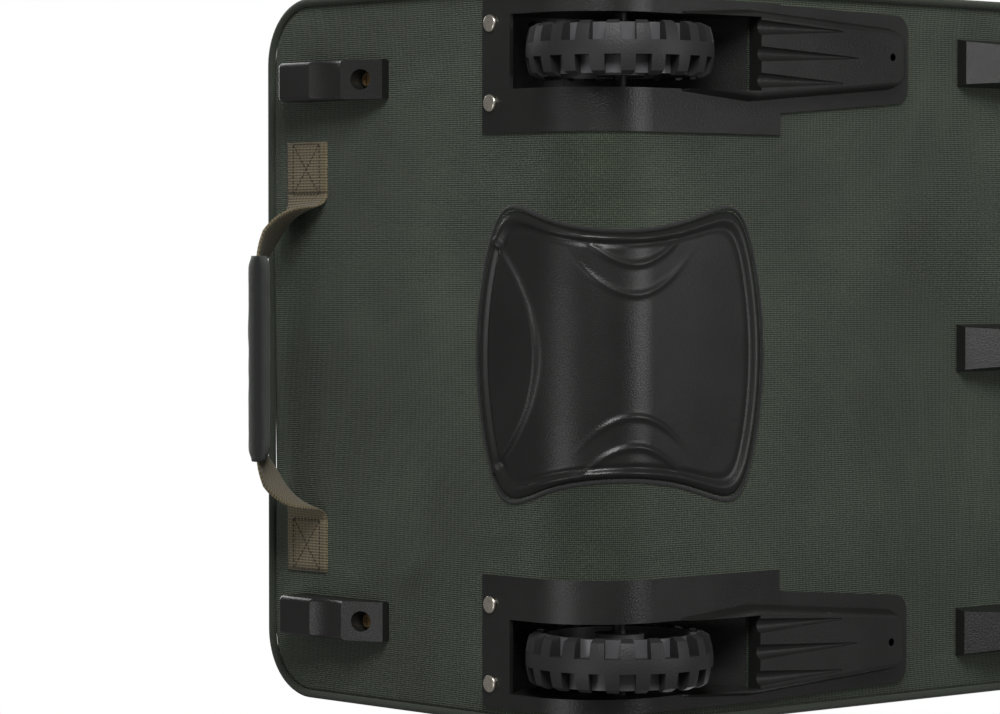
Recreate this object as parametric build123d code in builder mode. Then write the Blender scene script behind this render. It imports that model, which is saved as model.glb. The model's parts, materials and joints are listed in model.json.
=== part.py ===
"""Rolling duffel bag. Millimetres, +Z up, lying on its two wheels and three runners.

The bag is a soft box sewn from panels over a moulded base board. The wheel end is at -X and the pull
handle comes out of the +X end. The wheels sit in moulded housings that wrap the lower edge of the wheel
end, with a moulded guard on the same edge between them. Runners hold the base level with the wheels.
The origin is on the floor, under the middle of the bag, on the flat underside of the centre runner.
"""

import os
from math import cos, radians, sin, sqrt

from build123d import *

# --- bag body ---
bag_length = 800.0
bag_width = 410.0
bag_depth = 280.0
cloth = 2.5  # panel: outer fabric, foam and lining together
wheel_corner_radius = 45.0  # lower edge at the wheel end
pull_corner_radius = 12.0  # lower edge at the pull-handle end
shoulder_radius = 35.0  # long upper edges
piping_radius = 2.3
piping_offset = 1.8  # how far the piping's centre stands out of each sewn edge
gap = 0.3  # clearance between neighbouring pieces

# --- wheels ---
wheel_diameter = 106.0
wheel_width = 30.0
wheel_track = 341.0  # between the two wheels' middles
wheel_set_in = 41.0  # axle behind the wheel-end face
axle_above_base = 20.0
tyre_thickness = 9.0
lug_count = 19
lug_share = 0.52  # notch share of one lug pitch
rib_width = 8.0  # unbroken rib round the middle of the tread
axle_diameter = 8.0
bearing_diameter = 22.0
bearing_width = 7.0
running_clearance = 0.05

# --- wheel housings ---
housing_wall = 2.5
well_radius = 60.0  # round the axle
well_width = 42.0
well_base_reach = 122.0  # the well's mouth ends this far from the wheel-end face
flange_up_end = 87.0  # flange height up the wheel-end face
flange_inner_y = 125.0
flange_outer_y = 200.0
wide_flange_reach = 146.0
tongue_reach = 253.0  # narrow part of the housing along the base
tongue_root = 120.0  # where the spurs widen into the tongue
tongue_root_inner_y = 138.5
tongue_corner_radius = 10.0
tongue_tip_inner_y = 146.0
tongue_tip_outer_y = 197.0
plateau_height = 11.0
plateau_start = 68.0  # spurs beside the well run forward to here
plateau_margin = 8.0
flute_radius = 4.5
flute_spacing = 15.0
flute_lengths = (67.0, 80.0, 67.0)
rivet_radius = 5.0
rivet_shank_radius = 2.4
rivet_head_height = 1.8
rivet_height_up_end = 80.0
rivet_ys = (142.0, 187.0)
housing_screw_x = 231.0
housing_screw_y = 172.0
housing_screw_recess_radius = 6.5
housing_screw_seat = 3.0  # the screw's seat stands this far off the base

# --- edge guard between the housings ---
guard_up_end = 92.0
guard_along_base = 132.0
guard_half_width_ends = 89.0
guard_half_width_middle = 67.0
guard_waist_radius = 190.0
guard_thickness = 4.0

# --- corner feet on the wheel-end face ---
foot_low = 172.0  # above the base
foot_high = 254.0
foot_width = 23.0
foot_height = 21.0
foot_y = 158.5
foot_screw_up = 185.0
foot_screw_recess_radius = 6.0
foot_screw_seat = 5.0  # the screw's seat stands this far off the panel

# --- runners under the base ---
runner_start = 298.0  # from the wheel-end face
runner_end = 745.0
runner_width = 29.0
runner_top_width = 15.0
runner_ramp = 88.0
runner_end_height = 8.0
runner_ys = (-171.0, 0.0, 171.0)
runner_groove = 1.2
runner_groove_spacing = 7.0

# --- lid and zip ---
lid_length = 660.0
lid_width = 300.0
lid_corner_radius = 40.0
zip_width = 9.0
zip_height = 3.0
slider_length = 16.0
slider_height = 2.6
slider_width = 8.0
slider_spacing = 18.0  # between the two sliders' middles when the zip is closed
puller_length = 32.0
puller_thickness = 2.2
puller_clearance = 1.1  # from its slider, so that it can tip back over it

# --- webbing ---
web_width = 38.0
web_thickness = 2.0
tab_length = 32.0
handle_tab_y = 96.0  # where the wheel-end handle leaves its sewn tab
handle_shift = 5.0  # the wheel-end handle is sewn on this far towards +Y
handle_up_end = 248.0  # middle of the handle's tabs, above the base
grip_length = 121.0
grip_thickness = 13.0
grip_width = 46.0
grip_tilt = 41.0  # the grip hangs with its lower edge out from the panel
grip_stand_off = 38.0  # grip's middle from the panel
carry_x = 130.0  # carry-handle legs from the bag's middle
carry_tab_height = 34.0
carry_corner_radius = 60.0
carry_drop = 120.0  # how far a carry handle hangs down its side panel
carry_pivot_height = 225.0  # above the base

# --- pull handle ---
tube_y = 62.0
outer_tube = (24.0, 15.0)
tube_wall = 1.2
tube_clearance = 0.3
outer_tube_start = -160.0
mid_tube_start = -120.0
inner_tube_start = -90.0
tube_above_board = 14.0
bracket_length = 14.0
saddle_xs = (-60.0, 200.0)
saddle_length = 18.0
bezel_length = 190.0
bezel_height = 30.0
bezel_thickness = 6.0
pull_grip_length = 162.0
pull_grip_height = 22.0
pull_grip_depth = 18.0
button_length = 34.0
button_width = 12.0
button_depth = 6.0  # in its pocket
button_stand_out = 3.0

# --- boards and screws ---
board = 3.0
screw_head_radius = 4.5
screw_head_height = 2.2
screw_grip = 4.0  # how far a screw reaches past the board that holds it
screw_shank_radius = 2.0
runner_screw_shares = (0.3, 0.8)  # along each runner
runner_bite = 10.0  # how far a runner's screws reach into it

# --- places worked out from the sizes above ---
wheel_radius = wheel_diameter / 2
base_z = wheel_radius - axle_above_base  # underside of the base panel; the wheels touch the floor
top_z = base_z + bag_depth
wheel_end_x = -bag_length / 2
pull_end_x = bag_length / 2
half_width = bag_width / 2
axle_x = wheel_end_x + wheel_set_in
wheel_y = wheel_track / 2
board_top_z = base_z + cloth + board
tube_z = board_top_z + tube_above_board + outer_tube[1] / 2

os.makedirs("parts", exist_ok=True)


def save(shape, name):
    """Labels one finished piece and writes it to its own STEP file."""
    shape.label = name
    export_step(shape, f"parts/{name}.step")


def save_pair(shape, name):
    """Writes a piece made on the -Y side as NAME_left, and its mirror image as NAME_right."""
    save(shape, f"{name}_left")
    save(mirror(shape, about=Plane.XZ), f"{name}_right")


def body_solid(inset):
    """The bag's outer form, moved in by inset: a rounded section along X, within a rounded side profile."""
    with BuildPart() as form:
        with BuildSketch(Plane.YZ.offset(wheel_end_x + inset)) as section:
            with Locations((0, (base_z + top_z) / 2)):
                Rectangle(bag_width - 2 * inset, bag_depth - 2 * inset)
            fillet(section.vertices().group_by(Axis.Y)[-1], shoulder_radius - inset)
        extrude(amount=bag_length - 2 * inset)
        lower = form.edges().filter_by(Axis.Y).group_by(Axis.Z)[0].sort_by(Axis.X)
        fillet(lower[0], wheel_corner_radius - inset)
        lower = form.edges().filter_by(Axis.Y).group_by(Axis.Z)[0].sort_by(Axis.X)
        fillet(lower[-1], pull_corner_radius - inset)
    return form.part


def block(x_range, y_range, z_range):
    """A plain box between two corners."""
    low = Vector(x_range[0], y_range[0], z_range[0])
    size = Vector(x_range[1], y_range[1], z_range[1]) - low
    return Pos(*(low + size / 2)) * Box(size.X, size.Y, size.Z)


# ---------------------------------------------------------------- sewn panels
well_outer_low = wheel_y - well_width / 2 - housing_wall
well_outer_high = wheel_y + well_width / 2 + housing_wall
past_faces = 30.0  # cutting shapes run this far out of the bag


def well_outline(extra):
    """Side profile of the wheel well, grown by extra: round over the wheel, then sloping to its mouth."""
    radius = well_radius + extra
    reach = well_base_reach + extra
    centre = (axle_x, base_z + axle_above_base)
    front_rise = sqrt(radius**2 - wheel_set_in**2)
    with BuildSketch(Plane.XZ) as outline:
        with BuildLine():
            start = (wheel_end_x, centre[1] + front_rise)
            crest = (centre[0], centre[1] + radius)
            back = (centre[0] + radius * cos(radians(20)), centre[1] + radius * sin(radians(20)))
            mouth = (wheel_end_x + reach, base_z)
            mid_1 = centre[0] - radius * sin(radians(22)), centre[1] + radius * cos(radians(22))
            mid_2 = centre[0] + radius * cos(radians(55)), centre[1] + radius * sin(radians(55))
            ThreePointArc(start, mid_1, crest)
            ThreePointArc(crest, mid_2, back)
            Polyline(back, mouth, (wheel_end_x, base_z), start)
        make_face()
    return outline.sketch


def well_block(extra, y_low, y_high, outwards):
    """The well's space on the -Y side, grown by extra and run outwards past both outer faces."""
    with BuildPart() as space:
        with BuildSketch(Plane.XZ.offset(y_low)):
            add(well_outline(extra))
        extrude(amount=y_high - y_low)
        if outwards:
            reach = well_base_reach + extra
            rise = axle_above_base + sqrt((well_radius + extra) ** 2 - wheel_set_in**2)
            before_end = (wheel_end_x - past_faces, wheel_end_x + 0.01)
            under_base = (base_z - past_faces, base_z + 0.01)
            across = (-y_high, -y_low)
            add(block(before_end, across, (base_z - past_faces, base_z + rise)))
            add(block((wheel_end_x - past_faces, wheel_end_x + reach), across, under_base))
    return space.part


well_cut = well_block(housing_wall + gap, well_outer_low - gap, well_outer_high + gap, True)
well_cuts = [well_cut, mirror(well_cut, about=Plane.XZ)]

shell = body_solid(0) - body_solid(cloth)
for cut in well_cuts:
    shell = shell - cut

far = bag_length
inner_y = half_width - cloth
end_zone_x = wheel_end_x + wheel_corner_radius + 5
end_zone_z = base_z + wheel_corner_radius + 5
pull_zone_x = pull_end_x - pull_corner_radius - 5
pull_zone_z = base_z + pull_corner_radius + 5
everywhere = (-far, far)

wheel_end_zone = block((-far, wheel_end_x + cloth), everywhere, everywhere) + block(
    (-far, end_zone_x), (-inner_y, inner_y), (-far, end_zone_z)
)
pull_end_zone = block((pull_end_x - cloth, far), everywhere, everywhere) + block(
    (pull_zone_x, far), (-inner_y, inner_y), (-far, pull_zone_z)
)
base_zone = block((end_zone_x, pull_zone_x), (-inner_y, inner_y), (-far, base_z + cloth))
flat_top_y = half_width - shoulder_radius
top_zone = block((wheel_end_x + cloth, pull_end_x - cloth), (-flat_top_y, flat_top_y), (top_z - cloth, far))
tube_exit = [
    block(
        (pull_end_x - pull_corner_radius, pull_end_x + cloth),
        (side * tube_y - outer_tube[0] / 2 - gap, side * tube_y + outer_tube[0] / 2 + gap),
        (tube_z - outer_tube[1] / 2 - gap, tube_z + outer_tube[1] / 2 + gap),
    )
    for side in (-1, 1)
]

wheel_end_panel = shell & wheel_end_zone
pull_end_panel = (shell & pull_end_zone) - tube_exit
base_panel = shell & base_zone
top_whole = shell & top_zone
sides = shell - wheel_end_zone - pull_end_zone - base_zone - top_zone
side_panel_left = sides & block(everywhere, (-far, 0), everywhere)
side_panel_right = sides & block(everywhere, (0, far), everywhere)

# ---------------------------------------------------------------- lid and zip in the top panel
zip_gap = 0.4


def lid_outline(grow):
    """The lid's plan, grown at its three zipped edges. The hinge edge at +Y stays where it is."""
    with BuildSketch() as outline:
        with Locations((0, -grow / 2)):
            Rectangle(lid_length + 2 * grow, lid_width + grow)
        fillet(outline.vertices().group_by(Axis.Y)[0], lid_corner_radius + grow)
    return outline.sketch


def top_slab(sketch, low, high):
    """A flat solid of the given plan between two heights."""
    with BuildPart() as slab:
        with BuildSketch(Plane.XY.offset(low)):
            add(sketch)
        extrude(amount=high - low)
    return slab.part


lid_low = top_z - cloth
mouth = top_slab(lid_outline(zip_width), lid_low - 1, top_z + 1)
hinge_slot = block(
    (-lid_length / 2 - zip_width, lid_length / 2 + zip_width),
    (lid_width / 2 - 0.01, lid_width / 2 + zip_gap),
    (lid_low - 1, top_z + 1),
)
top_panel = top_whole - mouth - hinge_slot
lid_panel = top_slab(lid_outline(-zip_gap), lid_low, top_z)
chain_outer = top_slab(lid_outline(zip_width - gap / 3), lid_low, lid_low + zip_height)
chain_inner = top_slab(lid_outline(0), lid_low - 1, top_z + 2)
zip_chain = chain_outer - chain_inner

slider_y = -(lid_width / 2 + zip_width / 2)
slider_z = lid_low + zip_height + gap


def zip_slider(x):
    """A slider body with its bail, riding on the chain."""
    with BuildPart() as slider:
        with BuildSketch(Plane.XY.offset(slider_z)):
            with Locations((x, slider_y)):
                RectangleRounded(slider_length, slider_width - 0.4, 2.5)
        extrude(amount=slider_height)
        with BuildSketch(Plane.XZ.offset(-slider_y + 1)):
            with Locations((x, slider_z + slider_height)):
                Ellipse(5.0, 3.2)
                Ellipse(3.0, 1.6, mode=Mode.SUBTRACT)
                with Locations((0, -3.0)):
                    Rectangle(20, 6, mode=Mode.SUBTRACT)
        extrude(amount=2)
    return slider.part


def zip_puller(x):
    """A moulded pull tab lying along the zip, on the side of its slider away from the zip's middle."""
    away = -1 if x < 0 else 1
    start = abs(x) + slider_length / 2 + puller_thickness / 2 + puller_clearance
    with BuildPart() as puller:
        with BuildSketch(Plane.XY.offset(slider_z)):
            with Locations((away * (start + puller_length / 2), slider_y)):
                RectangleRounded(puller_length, slider_width - 1, 3)
            with Locations((away * (start + puller_length - 5), slider_y)):
                Circle(1.6, mode=Mode.SUBTRACT)
        extrude(amount=puller_thickness)
        fillet(puller.faces().sort_by(Axis.Z)[-1].outer_wire().edges(), 0.7)
    return puller.part


slider_xs = {"zip_slider_wheel_end": -slider_spacing / 2, "zip_slider_pull_end": slider_spacing / 2}

# ---------------------------------------------------------------- piping along the sewn edges
out = piping_offset
piping_corners = []
piping_low_x = wheel_end_x - out
piping_high_x = pull_end_x + out
for x, y_sign in ((piping_low_x, -1), (piping_low_x, 1), (piping_high_x, 1), (piping_high_x, -1)):
    low_point = (x, y_sign * (half_width + out), base_z - out)
    high_point = (x, y_sign * (half_width + out), top_z + out)
    rising = y_sign < 0 if x < 0 else y_sign > 0
    piping_corners += [low_point, high_point] if rising else [high_point, low_point]
low_wheel = wheel_corner_radius + out
low_pull = pull_corner_radius + out
high = shoulder_radius + out
with BuildPart() as piping:
    with BuildLine() as path:
        FilletPolyline(
            *piping_corners,
            radius=[low_wheel, high, high, low_wheel, low_pull, high, high, low_pull],
            close=True,
        )
    with BuildSketch(Plane(origin=path.wire() @ 0, z_dir=path.wire() % 0)):
        Circle(piping_radius)
    sweep()

# ---------------------------------------------------------------- holes for screws and rivets
runner_screw_xs = [wheel_end_x + runner_start + s * (runner_end - runner_start) for s in runner_screw_shares]
runner_screw_length = board + cloth + runner_bite
hole = Cylinder(screw_shank_radius + gap, 60)
rivet_hole = Cylinder(rivet_shank_radius + gap, 60)
base_holes = [Pos(x, y, base_z) * hole for x in runner_screw_xs for y in runner_ys]
base_holes += [Pos(wheel_end_x + housing_screw_x, side * housing_screw_y, base_z) * hole for side in (-1, 1)]
end_holes = [
    Pos(wheel_end_x, side * foot_y, base_z + foot_screw_up) * Rot(0, 90, 0) * hole for side in (-1, 1)
]
end_holes += [
    Pos(wheel_end_x, side * y, base_z + rivet_height_up_end) * Rot(0, 90, 0) * rivet_hole
    for side in (-1, 1)
    for y in rivet_ys
]
base_panel = base_panel - base_holes
wheel_end_panel = wheel_end_panel - end_holes

# ---------------------------------------------------------------- boards inside the bag
board_side = inner_y - 4
with BuildPart() as base_board:
    with BuildSketch(Plane.XY.offset(base_z + cloth)):
        with Locations(((end_zone_x + pull_zone_x) / 2, 0)):
            RectangleRounded(pull_zone_x - end_zone_x, 2 * board_side, 12)
    extrude(amount=board)
base_board_solid = base_board.part - base_holes
for cut in well_cuts:
    base_board_solid = base_board_solid - cut
with BuildPart() as end_board:
    with BuildSketch(Plane.YZ.offset(wheel_end_x + cloth)):
        with Locations((0, (end_zone_z + top_z - shoulder_radius) / 2)):
            RectangleRounded(2 * board_side, top_z - shoulder_radius - end_zone_z, 8)
    extrude(amount=board)
end_board_solid = end_board.part - end_holes
for cut in well_cuts:
    end_board_solid = end_board_solid - cut


def screw(length):
    """A pan-head screw, its head's underside at the origin and its shank running to -Z."""
    with BuildPart() as made:
        Cylinder(screw_head_radius, screw_head_height, align=(Align.CENTER, Align.CENTER, Align.MIN))
        fillet(made.faces().sort_by(Axis.Z)[-1].edges(), screw_head_height * 0.4)
        Cylinder(screw_shank_radius, length, align=(Align.CENTER, Align.CENTER, Align.MAX))
        with BuildSketch(Plane.XY.offset(screw_head_height)):
            Rectangle(screw_head_radius * 1.1, screw_head_radius * 0.25)
            Rectangle(screw_head_radius * 0.25, screw_head_radius * 1.1)
        extrude(amount=-screw_head_height * 0.5, mode=Mode.SUBTRACT)
    return made.part


def towards_floor(shape, x, y, z):
    """Turns a piece made along +Z so that its head looks down, and puts it in place."""
    return Pos(x, y, z) * Rot(180, 0, 0) * shape


def towards_end(shape, x, y, z):
    """Turns a piece made along +Z so that its head looks out of the wheel end, and puts it in place."""
    return Pos(x, y, z) * Rot(0, -90, 0) * shape


# ---------------------------------------------------------------- wheel housing, made on the -Y side
def wrap_band(thickness, up_end, along_base, y_low, y_high, lift):
    """A plate lying on the lower wheel-end edge, lift off the cloth, as a band extruded across the bag."""
    radius = wheel_corner_radius + lift
    x0 = wheel_end_x - lift
    z0 = base_z - lift
    knee = radius * (1 - cos(radians(45)))
    with BuildPart() as band:
        with BuildSketch(Plane.XZ.offset(-y_low)):
            with BuildLine():
                ThreePointArc((x0, z0 + radius), (x0 + knee, z0 + knee), (x0 + radius, z0))
                Line((x0 + radius, z0), (wheel_end_x + along_base, z0))
                outer_x, outer_z = x0 - thickness, z0 - thickness
                Line((wheel_end_x + along_base, z0), (wheel_end_x + along_base, outer_z))
                Line((wheel_end_x + along_base, outer_z), (x0 + radius, outer_z))
                outer_radius = radius + thickness
                outer_knee = outer_radius * (1 - cos(radians(45)))
                ThreePointArc(
                    (x0 + radius, outer_z),
                    (outer_x + outer_knee, outer_z + outer_knee),
                    (outer_x, z0 + radius),
                )
                Line((outer_x, z0 + radius), (outer_x, base_z + up_end))
                Line((outer_x, base_z + up_end), (x0, base_z + up_end))
                Line((x0, base_z + up_end), (x0, z0 + radius))
            make_face()
        extrude(amount=y_high - y_low, dir=(0, 1, 0))
    return band.part


def tongue_plan(margin):
    """Plan of the housing's narrow part along the base, moved in by margin at its sides and tip."""
    spur_x = wheel_end_x + plateau_start
    root_x = wheel_end_x + tongue_root
    tip_x = wheel_end_x + tongue_reach - margin
    with BuildSketch() as plan:
        with BuildLine():
            Polyline(
                (spur_x, -(well_outer_low + 1)),
                (root_x, -(tongue_root_inner_y - 3 + margin)),
                (tip_x, -(tongue_tip_inner_y + margin)),
                (tip_x, -(tongue_tip_outer_y - margin)),
                (root_x, -(flange_outer_y - margin / 2)),
                (spur_x, -(well_outer_high - 1)),
                close=True,
            )
        make_face()
        fillet(plan.vertices().group_by(Axis.X)[-1], tongue_corner_radius)
    return plan.sketch


def wheel_housing():
    """The moulded housing: flange round the edge, well over the wheel, raised fluted tongue on the base."""
    flange = wrap_band(housing_wall, flange_up_end, wide_flange_reach, -flange_outer_y, -flange_inner_y, gap)
    mouth_space = well_block(0, wheel_y - well_width / 2, wheel_y + well_width / 2, True)
    outer_well = well_block(housing_wall, well_outer_low, well_outer_high, False)
    low_z = base_z - gap
    with BuildPart() as tongue:
        with BuildSketch(Plane.XY.offset(low_z - housing_wall)):
            add(tongue_plan(0))
        extrude(amount=housing_wall)
        with BuildSketch(Plane.XY.offset(low_z - housing_wall)):
            add(tongue_plan(plateau_margin))
        extrude(amount=-(plateau_height - housing_wall), taper=18)
        fillet(tongue.faces().sort_by(Axis.Z)[0].edges(), 3)
    skin = outer_well & body_solid(cloth + gap)
    rim_band = wrap_band(
        cloth + 2 * gap, flange_up_end, wide_flange_reach, -well_outer_high, -well_outer_low, -cloth - gap
    )
    rim = outer_well & rim_band
    made = flange + tongue.part + skin + rim
    made = made - mouth_space
    flute_x = wheel_end_x + well_base_reach
    for index, length in enumerate(flute_lengths):
        y = -wheel_y - flute_spacing + index * flute_spacing
        flute_start = Plane(origin=(flute_x, y, base_z - plateau_height - 1.5), z_dir=(1, 0, 0.02))
        cone = Solid.make_cone(flute_radius, 0.4, length, flute_start)
        made = made - cone
    recess_depth = plateau_height - housing_screw_seat
    x = wheel_end_x + housing_screw_x
    made = made - (
        Pos(x, -housing_screw_y, base_z - plateau_height - 0.01)
        * Cylinder(housing_screw_recess_radius, recess_depth, align=(Align.CENTER, Align.CENTER, Align.MIN))
    )
    made = made - (Pos(x, -housing_screw_y, base_z - 5) * Cylinder(screw_shank_radius + gap, 20))
    bore = Pos(axle_x, -wheel_y, base_z + axle_above_base) * Rot(90, 0, 0)
    made = made - bore * Cylinder(axle_diameter / 2 + running_clearance, well_width + 4 * housing_wall)
    for y in rivet_ys:
        made = made - Pos(wheel_end_x, -y, base_z + rivet_height_up_end) * Rot(0, 90, 0) * rivet_hole
    return made


def tyre():
    """A rubber tyre: a rib round the middle with lugs out to both shoulders, in staggered rows."""
    inner = wheel_radius - tyre_thickness
    half = wheel_width / 2
    with BuildPart() as made:
        with BuildSketch(Plane.YZ):
            with BuildLine():
                Polyline(
                    (-half, inner),
                    (half, inner),
                    (half, wheel_radius - 6),
                    (half - 2, wheel_radius - 2.2),
                )
                shoulder = wheel_radius - 2.2
                ThreePointArc((half - 2, shoulder), (0, wheel_radius), (2 - half, shoulder))
                Polyline((2 - half, wheel_radius - 2.2), (-half, wheel_radius - 6), (-half, inner))
            make_face()
        revolve(axis=Axis.Y)
        pitch = 360 / lug_count
        notch = 2 * wheel_radius * sin(radians(pitch * lug_share / 2))
        notch_span = half - rib_width / 2
        notch_depth = tyre_thickness + 2  # right through to the rim
        for side, turn in ((1, 0), (-1, pitch / 2)):
            y = side * (half - notch_span / 2 + 0.5)
            for index in range(lug_count):
                place = Rot(0, turn + index * pitch, 0) * Pos(0, y, wheel_radius)
                with Locations(place):
                    Box(notch, notch_span + 1, 2 * notch_depth, mode=Mode.SUBTRACT)
    return made.part


def wheel_hub():
    """A moulded hub: rim under the tyre, web with round windows and a bearing barrel."""
    rim_outer = wheel_radius - tyre_thickness
    rim_inner = rim_outer - 4
    barrel = bearing_diameter / 2 + 3
    with BuildPart() as made:
        with BuildSketch(Plane.XZ):
            Circle(rim_outer)
        extrude(amount=(wheel_width - 2) / 2, both=True)
        with BuildSketch(Plane.XZ):
            Circle(rim_inner)
            Circle(barrel, mode=Mode.SUBTRACT)
        extrude(amount=wheel_width, both=True, mode=Mode.SUBTRACT)
        with BuildSketch(Plane.XZ):
            Circle(rim_inner + 1)
            Circle(barrel - 1, mode=Mode.SUBTRACT)
            with PolarLocations((rim_inner + barrel) / 2, 6):
                Circle(6, mode=Mode.SUBTRACT)
        extrude(amount=3, both=True)
        with BuildSketch(Plane.XZ):
            Circle(axle_diameter / 2 + 1.5)
        extrude(amount=wheel_width, both=True, mode=Mode.SUBTRACT)
        for side in (-1, 1):
            with BuildSketch(Plane.XZ.offset(side * (wheel_width / 2 - 1))):
                Circle(bearing_diameter / 2)
            extrude(amount=-side * bearing_width, mode=Mode.SUBTRACT)
    return made.part


def bearings():
    """Two ball bearings as plain rings, one in each end of the hub's barrel."""
    rings = []
    for side in (-1, 1):
        with BuildPart() as ring:
            with BuildSketch(Plane.XZ.offset(side * (wheel_width / 2 - 1))):
                Circle(bearing_diameter / 2)
                Circle(axle_diameter / 2 + running_clearance, mode=Mode.SUBTRACT)
            extrude(amount=-side * bearing_width)
            fillet(ring.edges().filter_by(GeomType.CIRCLE).sort_by(SortBy.RADIUS)[-2:], 0.5)
        rings.append(ring.part)
    return Compound(children=rings)


def axle():
    """The axle with a head at each end, outside the well's walls."""
    reach = well_outer_high - wheel_y + gap
    with BuildPart() as made:
        with BuildSketch(Plane.XZ):
            Circle(axle_diameter / 2)
        extrude(amount=reach, both=True)
        for side in (-1, 1):
            with BuildSketch(Plane.XZ.offset(side * reach)):
                Circle(axle_diameter / 2 + 3)
            extrude(amount=side * 2.5)
    return made.part


def at_wheel(shape):
    """Moves a piece made round the origin to the -Y wheel's middle."""
    return Pos(axle_x, -wheel_y, base_z + axle_above_base) * shape


def housing_rivets():
    """Two domed rivets that hold the flange to the wheel-end board."""
    made = []
    head_x = wheel_end_x - housing_wall - 1.5 * gap
    shank_length = housing_wall + gap + cloth + board + 1
    for y in rivet_ys:
        with BuildPart() as rivet:
            Cylinder(rivet_radius, rivet_head_height, align=(Align.CENTER, Align.CENTER, Align.MIN))
            fillet(rivet.faces().sort_by(Axis.Z)[-1].edges(), 1.2)
            Cylinder(rivet_shank_radius, shank_length, align=(Align.CENTER, Align.CENTER, Align.MAX))
        made.append(towards_end(rivet.part, head_x, -y, base_z + rivet_height_up_end))
    return Compound(children=made)


def housing_screws():
    """One screw up through each housing's tongue into the base board."""
    seat = housing_screw_seat + gap
    made = [
        towards_floor(
            screw(seat + cloth + board + screw_grip),
            wheel_end_x + housing_screw_x,
            side * housing_screw_y,
            base_z - seat,
        )
        for side in (-1, 1)
    ]
    return Compound(children=made)


def foot_screws():
    """One screw through each corner foot into the end board."""
    seat = foot_screw_seat + gap
    made = [
        towards_end(
            screw(seat + cloth + board + screw_grip),
            wheel_end_x - seat,
            side * foot_y,
            base_z + foot_screw_up,
        )
        for side in (-1, 1)
    ]
    return Compound(children=made)


# ---------------------------------------------------------------- guard over the middle of the edge
def edge_guard():
    """A moulded guard wrapped round the edge, waisted in the middle."""
    band = wrap_band(
        guard_thickness, guard_up_end, guard_along_base, -guard_half_width_ends, guard_half_width_ends, gap
    )
    centre_shift = guard_half_width_middle + guard_waist_radius
    bend_x = wheel_end_x + wheel_corner_radius * (1 - cos(radians(45)))
    bend_z = base_z + wheel_corner_radius * (1 - cos(radians(45)))
    for side in (-1, 1):
        with BuildPart() as waist:
            view = Plane(origin=(bend_x, side * centre_shift, bend_z), z_dir=(-1, 0, -1))
            with BuildSketch(view.offset(-120)):
                Circle(guard_waist_radius)
            extrude(amount=240)
        band = band - waist.part
    return band


# ---------------------------------------------------------------- corner feet
def corner_foot():
    """A moulded foot with a raised pad, a dip, and a sloping toe that takes the screw."""
    length = foot_high - foot_low
    with BuildPart() as made:
        with BuildSketch(Plane.XZ.offset(foot_y - foot_width / 2)):
            with BuildLine():
                x = wheel_end_x - gap
                z = base_z + foot_low
                Polyline((x, z + length), (x, z), (x - 6, z), (x - 17, z + 25))
                ThreePointArc((x - 17, z + 25), (x - 16, z + 35), (x - foot_height, z + 50))
                Polyline((x - foot_height, z + 50), (x - foot_height, z + length - 3), (x, z + length))
            make_face()
        extrude(amount=foot_width)
        fillet(made.edges().filter_by(Axis.Z), 3)
        outer = made.faces().filter_by(Axis.X).sort_by(Axis.X)[0]
        fillet(outer.edges(), 2)
    made_part = made.part
    recess = Cylinder(foot_screw_recess_radius, 12, align=(Align.CENTER, Align.CENTER, Align.MIN))
    x = wheel_end_x - foot_screw_seat
    made_part = made_part - Pos(x, -foot_y, base_z + foot_screw_up) * Rot(0, -90, 0) * recess
    shank = Cylinder(screw_shank_radius + gap, 40)
    return made_part - Pos(x, -foot_y, base_z + foot_screw_up) * Rot(0, 90, 0) * shank


# ---------------------------------------------------------------- runners
def runner(y):
    """A drafted runner that ramps up from a low blunt end, with two grooves along its running face."""
    x_low = wheel_end_x + runner_start
    x_high = wheel_end_x + runner_end
    top = base_z - gap
    with BuildPart() as made:
        with BuildSketch(Plane.YZ.offset(x_low)):
            with BuildLine():
                Polyline(
                    (y - runner_width / 2, top),
                    (y + runner_width / 2, top),
                    (y + runner_top_width / 2, 0),
                    (y - runner_top_width / 2, 0),
                    close=True,
                )
            make_face()
        extrude(amount=x_high - x_low)
        with BuildSketch(Plane.XZ):
            with BuildLine():
                Polyline(
                    (x_low - 1, top - runner_end_height),
                    (x_low + runner_ramp, 0),
                    (x_high - runner_ramp * 0.6, 0),
                    (x_high + 1, top - runner_end_height),
                    (x_high + 1, -5),
                    (x_low - 1, -5),
                    close=True,
                )
            make_face()
        extrude(amount=bag_width, both=True, mode=Mode.SUBTRACT)
        for side in (-1, 1):
            with BuildSketch(Plane.XY.offset(-1)):
                with Locations(((x_low + x_high) / 2, y + side * runner_groove_spacing / 2)):
                    Rectangle(x_high - x_low - 2 * runner_ramp, runner_groove)
            extrude(amount=2.2, mode=Mode.SUBTRACT)
        with Locations(*[(x, y, top) for x in runner_screw_xs]):
            Cylinder(screw_shank_radius + gap, 24, mode=Mode.SUBTRACT)
    return made.part


def runner_screws():
    """Two screws from inside the bag, through the base board and base panel, into each runner."""
    made = []
    for y in runner_ys:
        for x in runner_screw_xs:
            made.append(Pos(x, y, board_top_z + gap) * screw(runner_screw_length))
    return Compound(children=made)


# ---------------------------------------------------------------- webbing handles
def ribbon(points, radii, thickness, width, width_dir):
    """Webbing of a given thickness that follows a path of straight runs and arcs in one plane."""
    with BuildPart() as made:
        with BuildLine() as path:
            FilletPolyline(*points, radius=radii)
        start = path.wire() @ 0
        with BuildSketch(Plane(origin=start, x_dir=width_dir, z_dir=path.wire() % 0)):
            Rectangle(width, thickness)
        sweep()
    return made.part


web_mid = web_thickness / 2 + gap
end_handle_z = base_z + handle_up_end


def end_handle_tabs():
    """The two sewn ends of the wheel-end handle."""
    made = []
    for side in (-1, 1):
        y = handle_shift + side * (handle_tab_y + gap + tab_length / 2)
        made.append(Pos(wheel_end_x - web_mid, y, end_handle_z) * Box(web_thickness, tab_length, web_width))
    return Compound(children=made)


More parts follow.
